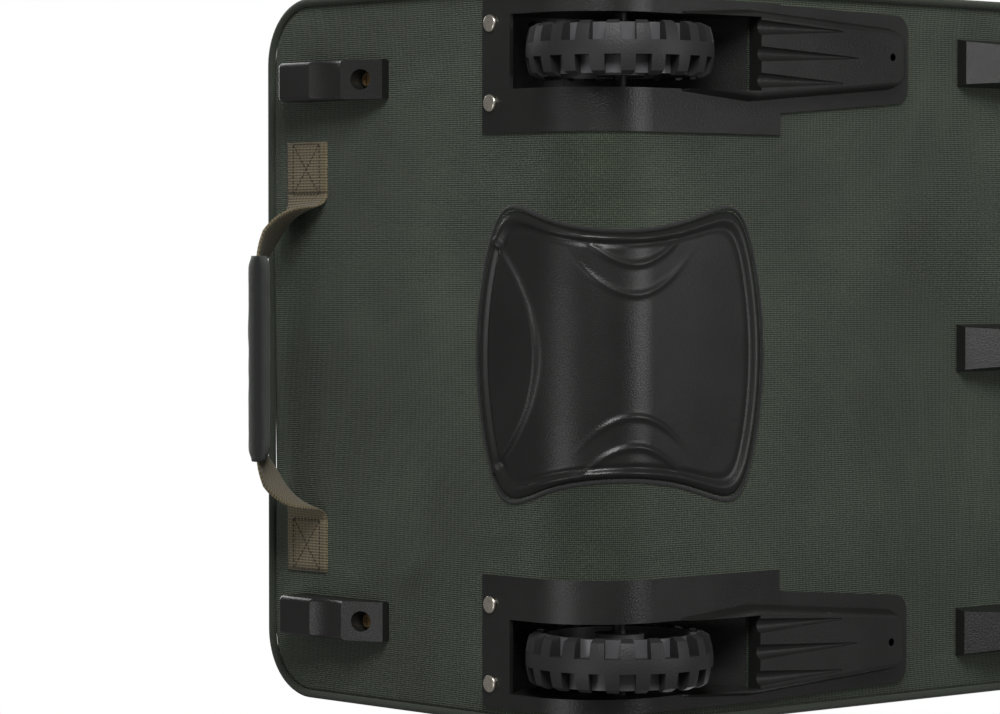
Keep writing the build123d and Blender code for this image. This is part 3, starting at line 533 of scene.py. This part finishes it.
# folds pulled into the cloth: start (s, y), end (s, y), width, height
FOLDS = [
    ((end_middle - 0.050, 0.112), (end_middle + 0.030, 0.150), 0.006, 0.0016),
    ((end_middle - 0.044, 0.130), (end_middle + 0.050, 0.176), 0.005, 0.0014),
    ((end_middle + 0.040, 0.140), (end_middle + 0.085, 0.115), 0.007, 0.0013),
    ((end_middle - 0.050, -0.112), (end_middle + 0.020, -0.140), 0.005, 0.0011),
    ((end_middle + 0.045, -0.145), (end_middle + 0.095, -0.160), 0.006, 0.0010),
    ((end_run + 0.020, -0.100), (end_run + 0.095, -0.080), 0.008, 0.0014),
    ((end_run + 0.015, 0.098), (end_run + 0.100, 0.085), 0.009, 0.0017),
    ((end_run + 0.045, 0.112), (end_run + 0.120, 0.104), 0.007, 0.0013),
    ((end_run - 0.060, 0.105), (end_run + 0.005, 0.092), 0.008, 0.0012),
]


def fold_height(s, y):
    """Height of the pulled folds at one place on the strip."""
    total = 0.0
    here = Vector((s, y))
    for start, end, width, height in FOLDS:
        a, b = Vector(start), Vector(end)
        along = b - a
        share = min(max((here - a).dot(along) / along.length_squared, 0), 1)
        away = (here - a - along * share).length
        total += height * exp(-((away / width) ** 2)) * sin(pi * min(max(share, 0.02), 0.98))
    return total


def swell(u, v):
    """How far the middle of a panel stands out, 1 at its middle and 0 at its edges; u and v run -1 to 1."""
    return max(0.0, (1 - u**4)) * max(0.0, (1 - v**4))


def strip_point(s, u):
    """A place on the outer face of the strip; u runs across it from -1 to 1."""
    x, z, nx, nz = strip_frame(s)
    y = u * half_width_at(z)
    covered = under_hard_piece(s, y)
    soft = noise.noise(Vector((s * 7, y * 9, 1.7))) * 0.0016
    soft += noise.noise(Vector((s * 22, y * 26, 5.1))) * 0.0005
    edge = max(0.0, 1 - (1 - abs(u)) * half_width / 0.016)
    rise = (soft + fold_height(s, y) - 0.0006) * (1 - covered) * (1 - edge) - 0.0003 * covered
    if s > strip_length - pull_run + 0.05:
        rise += 0.004 * swell(u, 2 * (s - strip_length + pull_run / 2) / pull_run) * (1 - edge)
    rise -= 0.0012 * edge
    return Vector((x + nx * rise, y, z + nz * rise))


def outside_wells(middle):
    """False inside the wheel housings' mouths and under the bezel, where the cloth is cut away."""
    across_well = WELL_INNER < abs(middle.y) < WELL_OUTER
    in_well = across_well and middle.x < wheel_x + WELL_REACH and middle.z < base_z + WELL_RISE
    across_bezel = abs(middle.y) < BEZEL_HALF and BEZEL_LOW < middle.z < BEZEL_HIGH
    in_bezel = middle.x > pull_x - 0.002 and across_bezel
    return not in_well and not in_bezel


rows, columns = 560, 150


def strip_vertex(i, j):
    """One vertex of the strip's grid, with its UV in metres."""
    s = strip_length * i / (rows - 1)
    u = 2 * j / (columns - 1) - 1
    place = strip_point(s, u)
    return place, (s, place.y)


strip_mesh = surface(rows, columns, strip_vertex, outside_wells)
strip = finish_piece("end_and_base_cloth", strip_mesh, looks["bag_cloth"], "bag")
solid(strip, SHELL_SHOWN, 1.0, lining)
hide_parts("wheel_end_panel", "pull_end_panel", "base_panel")


def low_edge(x):
    """Height of a side panel's lower edge."""
    from_wheel = WHEEL_CORNER - (x - wheel_x)
    from_pull = PULL_CORNER - (pull_x - x)
    if from_wheel > 0:
        return base_z + WHEEL_CORNER - sqrt(max(WHEEL_CORNER**2 - from_wheel**2, 0))
    if from_pull > 0:
        return base_z + PULL_CORNER - sqrt(max(PULL_CORNER**2 - from_pull**2, 0))
    return base_z


def side_panel(sign):
    """One side of the bag from its lower edge over the shoulder, softly swollen."""
    side_rows, side_columns, arc_steps = 260, 70, 14

    def vertex(i, j):
        t = i / (side_rows - 1)
        x = wheel_x + (pull_x - wheel_x) * (t - 0.05 * sin(2 * pi * t))
        low = low_edge(x)
        flat = side_columns - arc_steps
        if j < flat:
            v = j / (flat - 1)
            y, z, ny, nz = half_width, low + v * (top_z - SHOULDER - low), 1.0, 0.0
            along = z
        else:
            turn = (j - flat + 1) / arc_steps * pi / 2
            ny, nz = cos(turn), sin(turn)
            y = half_width - SHOULDER + SHOULDER * ny
            z = top_z - SHOULDER + SHOULDER * nz
            along = top_z - SHOULDER + SHOULDER * turn
        u = 2 * (x - wheel_x) / (pull_x - wheel_x) - 1
        v = 2 * (z - base_z) / (top_z - base_z) - 1
        rise = 0.0045 * swell(u, v) + noise.noise(Vector((x * 8, z * 9, 3 + sign))) * 0.0018 * swell(u, v)
        rise += noise.noise(Vector((x * 24, z * 22, 8 + sign))) * 0.0006 * swell(u, v)
        near_handle = exp(-(((abs(x) - 0.13) / 0.05) ** 2)) if abs(x) < 0.3 else 0
        if abs(x) < 0.155 and 0.11 < z < top_z - 0.01:
            rise = min(rise, 0.0002)
        else:
            rise *= 1 - 0.5 * near_handle
        return Vector((x, sign * (y + ny * rise), z + nz * rise)), (x, along)

    name = "side_cloth_left" if sign < 0 else "side_cloth_right"
    made = surface(side_rows, side_columns, vertex)
    if sign > 0:
        bmesh.ops.reverse_faces(made, faces=made.faces)
    piece = finish_piece(name, made, looks["bag_cloth"], "bag")
    solid(piece, SHELL_SHOWN, 1.0, lining)
    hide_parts("side_panel_left" if sign < 0 else "side_panel_right")


for sign in (-1, 1):
    side_panel(sign)


# ---------------------------------------------------------------- top panel, lid and zip
def lid_outline(grow, count=400):
    """The lid's plan as points, grown at its three zipped edges; the hinge edge stays where it is."""
    x = lid_high.x + ZIP_GAP + grow
    y = lid_high.y
    corners = [(-x, y, 0), (x, y, 0), (x, -y - grow, 0), (-x, -y - grow, 0)]
    sharp = 0.0005
    round_corner = LID_CORNER + grow
    line = rounded_path(corners, [sharp, sharp, round_corner, round_corner], True, 0.003)
    return evened(line, 0, True, count)


def ring_between(outer, inner, steps, height):
    """A bmesh of rings between two outlines with as many points."""
    count = len(outer)

    def vertex(i, j):
        place = outer[j % count].lerp(inner[j % count], i / (steps - 1))
        place.z = height(place, i / (steps - 1))
        return place, (place.x, place.y)

    return surface(steps, count, vertex, closed=True)


mouth = lid_outline(ZIP_WIDTH)
flat_y = half_width - SHOULDER


def onto_rim(point):
    """The place on the top panel's outer edge that lies outwards of a mouth point."""
    x_share = abs(point.x) / (pull_x - 0.0005)
    y_share = abs(point.y) / flat_y
    return Vector((point.x, point.y, 0)) / max(x_share, y_share)


def top_height(place, t):
    """The top panel is nearly flat between its edge and the mouth."""
    return top_z + noise.noise(place * 12) * 0.0004 * sin(pi * t)


top_ring = ring_between([onto_rim(p) for p in mouth], mouth, 10, top_height)
bmesh.ops.recalc_face_normals(top_ring, faces=top_ring.faces)
top_piece = finish_piece("top_cloth", top_ring, looks["bag_cloth"], "bag")
solid(top_piece, SHELL_SHOWN, -1.0, lining)
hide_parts("top_panel")

lid_edge = lid_outline(-ZIP_GAP)
lid_centre = Vector((0, 0, 0))


def lid_height(place, t):
    """The lid stands up a little in its middle."""
    rise = 0.007 * (1 - (1 - t) ** 4)
    return lid_high.z - 0.0006 + rise + noise.noise(place * 9) * 0.0012 * min(1, 6 * t)


lid_mesh = ring_between(lid_edge, [lid_centre.lerp(p, 0.02) for p in lid_edge], 40, lid_height)
inner_rim = [e for e in lid_mesh.edges if e.is_boundary and e.verts[0].co.length < 0.5 * flat_y]
bmesh.ops.holes_fill(lid_mesh, edges=inner_rim)
bmesh.ops.recalc_face_normals(lid_mesh, faces=lid_mesh.faces)
lid_piece = finish_piece("lid_cloth", lid_mesh, looks["bag_cloth"], "lid")
solid(lid_piece, LID_SHOWN, -1.0, lining)
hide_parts("lid_panel")


def coil_teeth():
    """The zip's two rows of coil teeth, round three sides of the lid."""
    made = bmesh.new()
    z = lid_low.z + 0.0015
    line = [p for p in lid_outline(ZIP_WIDTH / 2, 1060) if p.y < lid_high.y - 0.001]
    turn = max(range(len(line)), key=lambda k: (line[k] - line[k - 1]).length)
    line = line[turn:] + line[:turn]
    for index, here in enumerate(line[1:-1]):
        along = (line[index + 2] - line[index]).normalized()
        out = along.cross(Vector((0, 0, 1)))
        for side in (-1, 1):
            centre = here + out * side * 0.0011 + along * 0.00045 * side
            centre.z = z
            matrix = Matrix((along, out, Vector((0, 0, 1)))).transposed().to_4x4()
            matrix.translation = centre
            bmesh.ops.create_cube(made, size=1, matrix=matrix @ Matrix.Diagonal((*TOOTH, 1)))
    return made


finish_piece("zip_teeth", coil_teeth(), looks["zip_metal"], "bag", smooth=False)
tape_mesh = ring_between(lid_outline(ZIP_WIDTH - 0.0002), lid_outline(0), 6, lambda p, t: lid_low.z + 0.0007)
past_hinge = [f for f in tape_mesh.faces if f.calc_center_median().y > lid_high.y - 0.0001]
bmesh.ops.delete(tape_mesh, geom=past_hinge, context="FACES")
bmesh.ops.recalc_face_normals(tape_mesh, faces=tape_mesh.faces)
tape = finish_piece("zip_tape", tape_mesh, looks["zip_tape"], "bag")
solid(tape, 0.0006, 0)
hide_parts("zip_chain")

# ---------------------------------------------------------------- piping and seams
out = PIPING_OFFSET
path_corners = []
for x, y in ((wheel_x - out, -1), (wheel_x - out, 1), (pull_x + out, 1), (pull_x + out, -1)):
    low = (x, y * (half_width + out), base_z - out)
    high = (x, y * (half_width + out), top_z + out)
    path_corners += [low, high] if (y < 0) == (x < 0) else [high, low]
low_end, low_pull, high_round = WHEEL_CORNER + out, PULL_CORNER + out, SHOULDER + out
radii = [low_end, high_round, high_round, low_end, low_pull, high_round, high_round, low_pull]
piping_line = rounded_path(path_corners, radii, True, 0.003)
piping_mesh = tube(piping_line, PIPING_RADIUS, 12, True)
piping = finish_piece("piping_cord", piping_mesh, looks["piping"], "bag")
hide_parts("piping")

seams = bmesh.new()
for inset in SEAM_INSETS:
    for sign in (-1, 1):
        line, normals = [], []
        for i in range(401):
            s = 0.004 + (strip_length - 0.008) * i / 400
            x, z, nx, nz = strip_frame(s)
            u = sign * (1 - inset / half_width_at(z))
            place = strip_point(s, u) + Vector((nx, 0, nz)) * 0.0001
            if outside_wells(place):
                line.append(place)
                normals.append(Vector((nx, 0, nz)))
        add_stitches(seams, line, normals)
finish_piece("shell_seams", seams, thread, "bag")


# ---------------------------------------------------------------- webbing
def ribbon(name, line, normals, width, thickness, body, lanes=14):
    """Webbing: a flat section carried along a line, its face turned to the given normals, edges rounded."""
    half = thickness / 2
    section = []
    for k in range(lanes + 1):
        section.append((width * (k / lanes - 0.5), half if 0 < k < lanes else half * 0.45))
    section += [(w, -h) for w, h in reversed(section)]
    travelled = [0.0]
    for a, b in zip(line, line[1:]):
        travelled.append(travelled[-1] + (b - a).length)

    def vertex(i, j):
        ahead = (line[min(i + 1, len(line) - 1)] - line[max(i - 1, 0)]).normalized()
        normal = (normals[i] - ahead * normals[i].dot(ahead)).normalized()
        side = ahead.cross(normal)
        w, h = section[j]
        return line[i] + side * w + normal * h, (travelled[i], w)

    made = surface(len(line), len(section), vertex, closed=True)
    bmesh.ops.holes_fill(made, edges=[e for e in made.edges if e.is_boundary])
    bmesh.ops.recalc_face_normals(made, faces=made.faces)
    return finish_piece(name, made, looks["webbing"], body)


def box_stitches(name, centre, half_u, half_v, u, v, body):
    """A sewn box with its crossing diagonals, on a tab whose face is spanned by u and v."""
    normal = u.cross(v).normalized()
    made = bmesh.new()
    corners = [centre + u * a * half_u + v * b * half_v for a, b in ((-1, -1), (1, -1), (1, 1), (-1, 1))]
    lines = [(corners[k], corners[(k + 1) % 4]) for k in range(4)]
    lines += [(corners[0], corners[2]), (corners[1], corners[3])]
    for a, b in lines:
        add_stitches(made, [a.lerp(b, k / 20) for k in range(21)], [normal] * 21, 0.0025, 0.0031, 0.0004)
    return finish_piece(name, made, brown_thread, body)


grip_low, grip_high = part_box("end_handle_grip")
grip_centre = (grip_low + grip_high) / 2
grip_half = (grip_high.y - grip_low.y) / 2
_, web_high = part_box("end_handle_webbing")
tab_x = (tabs_low.x + tabs_high.x) / 2
handle_y = grip_centre.y
handle_z = grip_centre.z
tab_inner = web_high.y - handle_y
tab_outer = tabs_high.y - handle_y
out_normal = Vector((-1, 0, 0))
grip_normal = Vector((-cos(GRIP_TILT), 0, sin(GRIP_TILT)))


def bezier(a, b, c, d, t):
    """A point on a cubic curve."""
    return a * (1 - t) ** 3 + b * 3 * t * (1 - t) ** 2 + c * 3 * t**2 * (1 - t) + d * t**3


for sign, label in ((-1, "left"), (1, "right")):
    tab_free = tab_outer - tab_inner - 0.001
    tab_line = [Vector((tab_x, handle_y + sign * (tab_outer - tab_free * k / 8), handle_z)) for k in range(9)]
    tab = ribbon(f"end_tab_{label}", tab_line, [out_normal] * 9, WEB_WIDTH, WEB_THICKNESS, "bag")
    middle = Vector((tabs_low.x, handle_y + sign * (tab_inner + tab_outer) / 2, handle_z))
    upwards, across = Vector((0, 0, 1)), Vector((0, 1, 0))
    box_stitches(f"end_tab_stitches_{label}", middle, 0.0125, 0.0150, upwards, across, "bag")
    start = Vector((tab_x, handle_y + sign * (tab_inner + 0.001), handle_z))
    end = Vector((grip_centre.x, handle_y + sign * (grip_half - 0.006), handle_z))
    line = [
        bezier(start, start - Vector((0, sign * 0.016, 0)), end + Vector((0, sign * 0.022, 0)), end, k / 28)
        for k in range(29)
    ]
    normals = [out_normal.lerp(grip_normal, min(1, (k / 22) ** 1.3)).normalized() for k in range(29)]
    strap = ribbon(f"end_strap_{label}", line, normals, WEB_WIDTH, WEB_THICKNESS, None)
    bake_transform(strap)
    if sign < 0:
        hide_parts("end_handle_tabs")
        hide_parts("end_handle_webbing")


def grip_piece():
    """The padded sleeve: an oval section, pulled in at its ends, with a seam along each flat face."""
    rings, sides = 70, 48
    across = Vector((sin(GRIP_TILT), 0, cos(GRIP_TILT)))
    through = grip_normal

    def vertex(i, j):
        share = i / (rings - 1)
        y = grip_centre.y - grip_half + 2 * grip_half * share
        end = min(share, 1 - share) * 2 * grip_half
        pinch = 1 - 0.30 * exp(-((end / 0.004) ** 2))
        turn = 2 * pi * j / sides
        c, s = cos(turn), sin(turn)
        wide = 0.021 * (abs(c) ** 0.8) * (1 if c > 0 else -1)
        thick = 0.0062 * (abs(s) ** 0.75) * (1 if s > 0 else -1) * pinch
        seam = 1 - 0.16 * exp(-(((abs(wide) - 0.011) / 0.0013) ** 2))
        wrinkle = 1 + 0.05 * noise.noise(Vector((y * 90, wide * 160, thick * 60)))
        place = Vector((0, y, 0)) + Vector((grip_centre.x, 0, grip_centre.z))
        place = place + across * wide + through * thick * seam * wrinkle
        return place, (y, turn * 0.015)

    made = surface(rings, sides, vertex, closed=True)
    bmesh.ops.holes_fill(made, edges=[e for e in made.edges if e.is_boundary])
    bmesh.ops.recalc_face_normals(made, faces=made.faces)
    return finish_piece("grip_sleeve", made, looks["grip_sleeve"], "end_handle")


grip = grip_piece()
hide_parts("end_handle_grip")


CLEAR_OF_FOLD = 0.004  # the tabs' stitches sit this far up, clear of the handle when it is swung up


def carry_handle(sign):
    """One side handle: webbing in a flat loop that hangs from its two sewn tabs."""
    label = "left" if sign < 0 else "right"
    low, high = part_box(f"carry_loop_{label}")
    tab_low, tab_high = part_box(f"carry_tabs_{label}")
    tab_rise = tab_high.z - tab_low.z
    x = high.x - WEB_WIDTH / 2
    y = (low.y + high.y) / 2
    corners = [(-x, y, high.z), (-x, y, low.z + WEB_WIDTH / 2), (x, y, low.z + WEB_WIDTH / 2), (x, y, high.z)]
    line = rounded_path(corners, [0.060, 0.060], False, 0.004)
    facing = Vector((0, sign, 0))
    body = f"carry_handle_{label}"
    loop = ribbon(f"carry_webbing_{label}", line, [facing] * len(line), WEB_WIDTH, WEB_THICKNESS, body)
    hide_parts(f"carry_loop_{label}")
    for place in (-1, 1):
        tab_line = [Vector((place * x, y, tab_low.z + tab_rise * k / 8)) for k in range(9)]
        name = f"carry_tab_{label}_{'a' if place < 0 else 'b'}"
        tab = ribbon(name, tab_line, [facing] * 9, WEB_WIDTH, WEB_THICKNESS, "bag")
        face_y = y + sign * WEB_THICKNESS / 2
        middle = Vector((place * x, face_y, (tab_low.z + tab_high.z) / 2 + CLEAR_OF_FOLD))
        across = Vector((sign, 0, 0))
        box_stitches(f"{name}_stitches", middle, 0.0105, 0.012, Vector((0, 0, 1)), across, "bag")
        if place < 0:
            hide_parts(f"carry_tabs_{label}")


for sign in (-1, 1):
    carry_handle(sign)


# ---------------------------------------------------------------- edge guard
GUARD_CORNER_UP = 0.070
GUARD_MIDDLE_UP = guard_high.z - base_z
GUARD_CORNER_BASE = 0.113
GUARD_MIDDLE_BASE = guard_high.x - wheel_x
GUARD_WAIST = 0.069
GUARD_WIDE = guard_high.y
SQUARENESS = 11  # how square the guard's corners are
ARC_MIDDLE = 0.030  # where the nested arcs lie, measured from the edge along the base


def unrolled(s_from_edge):
    """Strip position of a length measured from the virtual sharp edge: up the wheel end is negative."""
    if s_from_edge <= -WHEEL_CORNER:
        return end_run + s_from_edge + WHEEL_CORNER
    if s_from_edge >= WHEEL_CORNER:
        return end_run + end_arc + s_from_edge - WHEEL_CORNER
    return end_run + end_arc * (s_from_edge + WHEEL_CORNER) / (2 * WHEEL_CORNER)


def guard_place(a, b):
    """Edge-measured length and Y of a place on the guard; a and b run -1 to 1 over its outline."""
    left = -(GUARD_CORNER_UP + (GUARD_MIDDLE_UP - GUARD_CORNER_UP) * (1 - b**2))
    right = GUARD_CORNER_BASE + (GUARD_MIDDLE_BASE - GUARD_CORNER_BASE) * (1 - b**2)
    t = (a + 1) / 2
    half = GUARD_WAIST + (GUARD_WIDE - GUARD_WAIST) * abs(a) ** 2.2
    return left + (right - left) * t, b * half


def ridge(distance, width):
    """A smooth rounded line of relief."""
    return exp(-((distance / width) ** 2))


def guard_relief(a, b, e, y):
    """Height of the guard's face over the cloth: rim, sunk field, lens-shaped ridge and nested arcs."""
    edge = 1 - (abs(a) ** SQUARENESS + abs(b) ** SQUARENESS) ** (1 / SQUARENESS)
    reach = edge * 0.085
    height = 0.0030 * min(1, sqrt(max(reach, 0) / 0.0035))
    height += 0.0012 * ridge(reach - 0.0045, 0.0018)
    height -= 0.0011 * ridge(reach - 0.0085, 0.0016)
    lens = e + 0.040 + 0.042 * (y / 0.070) ** 2
    height += 0.0026 / (1 + exp(lens / 0.0014)) if reach > 0.008 else 0
    height += 0.0014 * ridge(lens, 0.0020) if abs(y) < 0.076 else 0
    for offset, strength in ((0.051, 1.0), (0.034, 0.8)):
        bow = abs(y) - offset - 12 * (e - ARC_MIDDLE) ** 2
        fade = exp(-(((e - ARC_MIDDLE) / 0.034) ** 4))
        height += 0.0014 * strength * ridge(bow, 0.0018) * fade
    height += 0.0006 * max(0, min(1, reach / 0.04))
    return height


def guard_piece():
    """The moulded guard: a waisted plate wrapped round the edge, its rim turned down into the cloth."""
    size = 150

    def vertex(i, j):
        a = 2 * i / (size - 1) - 1
        b = 2 * j / (size - 1) - 1
        spread = max(abs(a), abs(b))
        norm = (abs(a) ** SQUARENESS + abs(b) ** SQUARENESS) ** (1 / SQUARENESS)
        shrink = spread / norm if norm > 0 else 1
        a, b = a * shrink, b * shrink
        e, y = guard_place(a, b)
        x, z, nx, nz = strip_frame(unrolled(e))
        rise = 0.0002 + guard_relief(a, b, e, y)
        if spread > 0.999:
            rise = -0.0008
        return Vector((x + nx * rise, y, z + nz * rise)), (e, y)

    made = surface(size, size, vertex)
    piece = finish_piece("edge_guard_moulding", made, looks["guard_plastic"], "bag")
    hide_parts("edge_guard")


guard_piece()


def guard_outline(inset):
    """The guard's edge, moved in, as places and normals round it."""
    places, normals = [], []
    for k in range(361):
        turn = 2 * pi * k / 360
        c, s = cos(turn), sin(turn)
        reach = (abs(c) ** SQUARENESS + abs(s) ** SQUARENESS) ** (-1 / SQUARENESS)
        a, b = c * reach * (1 - inset / 0.1), s * reach * (1 - inset / 0.08)
        e, y = guard_place(a, b)
        x, z, nx, nz = strip_frame(unrolled(e))
        places.append(Vector((x, y, z)) + Vector((nx, 0, nz)) * 0.0010)
        normals.append(Vector((nx, 0, nz)))
    return places, normals


rim_line, _ = guard_outline(-0.0008)
rim_mesh = tube(evened(rim_line[:-1], 0.002, True), 0.0014, 10, True)
finish_piece("edge_guard_binding", rim_mesh, looks["grip_sleeve"], "bag")
guard_seam = bmesh.new()
seam_line, seam_normals = guard_outline(0.0062)
add_stitches(guard_seam, [p + n * 0.0016 for p, n in zip(seam_line, seam_normals)], seam_normals)
finish_piece("edge_guard_stitches", guard_seam, looks["grip_sleeve"], "bag")

# ---------------------------------------------------------------- floor, light and camera
floor_mesh = bmesh.new()
bmesh.ops.create_grid(floor_mesh, x_segments=1, y_segments=1, size=6)
floor_data = bpy.data.meshes.new("studio_floor")
floor_mesh.to_mesh(floor_data)
floor_mesh.free()
floor = bpy.data.objects.new("studio_floor", floor_data)
bpy.context.scene.collection.objects.link(floor)
floor_look, floor_tree, floor_shader = new_material("pale_floor", (0.82, 0.82, 0.81), 0.8)
clear = floor_tree.nodes.new("ShaderNodeBsdfTransparent")
one_way = floor_tree.nodes.new("ShaderNodeMixShader")
floor_tree.links.new(floor_tree.nodes.new("ShaderNodeNewGeometry").outputs["Backfacing"], one_way.inputs[0])
floor_tree.links.new(floor_shader.outputs[0], one_way.inputs[1])
floor_tree.links.new(clear.outputs[0], one_way.inputs[2])
floor_tree.links.new(one_way.outputs[0], floor_tree.nodes["Material Output"].inputs["Surface"])
floor_data.materials.append(floor_look)
floor.visible_shadow = False
floor.visible_diffuse = False
floor.visible_glossy = False
floor.visible_transmission = False

BASE_TILT = radians(41.3)
CAMERA_DISTANCE = 2.163
towards = Vector((-sin(BASE_TILT), 0, -cos(BASE_TILT)))
right = Vector((cos(BASE_TILT), 0, -sin(BASE_TILT)))
up = Vector((0, -1, 0))
aim = Vector((wheel_x, 0, base_z)) - right * 0.0496

camera_data = bpy.data.cameras.new("camera")
camera_data.lens = 141.3
camera_data.sensor_width = 36
camera = bpy.data.objects.new("camera", camera_data)
bpy.context.scene.collection.objects.link(camera)
camera.location = aim + towards * CAMERA_DISTANCE + up * 0.059
back = (camera.location - aim).normalized()
side = up.cross(back).normalized()
turned = Matrix((side, back.cross(side), back)).transposed().to_4x4()
camera.matrix_world = Matrix.Translation(camera.location) @ turned
bpy.context.scene.camera = camera


def area_light(name, place, size, power, colour=(1, 1, 1)):
    """A square soft light aimed at the bag's wheel end."""
    data = bpy.data.lights.new(name, "AREA")
    data.size = size
    data.energy = power
    data.color = colour
    lamp = bpy.data.objects.new(name, data)
    bpy.context.scene.collection.objects.link(lamp)
    lamp.location = place
    lamp.rotation_euler = (aim - Vector(place)).to_track_quat("-Z", "Y").to_euler()


area_light("key", aim + towards * 1.3 + up * 1.2 + right * 0.1, 0.8, 23)
area_light("fill", aim + towards * 1.3 - up * 0.5 - right * 1.3, 0.8, 5)
area_light("side", aim + towards * 0.7 + right * 1.6 + up * 0.2, 0.6, 4.5)
area_light("overhead", Vector((0.3, -0.8, 2.2)), 1.6, 40)
area_light("far", Vector((1.9, 1.2, 1.2)), 1.4, 26)

world = bpy.data.worlds.new("studio")
world.use_nodes = True
bpy.context.scene.world = world
background = world.node_tree.nodes["Background"]
background.inputs["Color"].default_value = (1, 1, 1, 1)
seen = world.node_tree.nodes.new("ShaderNodeBackground")
seen.inputs["Color"].default_value = (1, 1, 1, 1)
seen.inputs["Strength"].default_value = 1.0
background.inputs["Strength"].default_value = 0.16
pick = world.node_tree.nodes.new("ShaderNodeMixShader")
light_path = world.node_tree.nodes.new("ShaderNodeLightPath")
world.node_tree.links.new(light_path.outputs["Is Camera Ray"], pick.inputs[0])
world.node_tree.links.new(background.outputs[0], pick.inputs[1])
world.node_tree.links.new(seen.outputs[0], pick.inputs[2])
world.node_tree.links.new(pick.outputs[0], world.node_tree.nodes["World Output"].inputs["Surface"])
bpy.context.scene.view_settings.view_transform = "Standard"
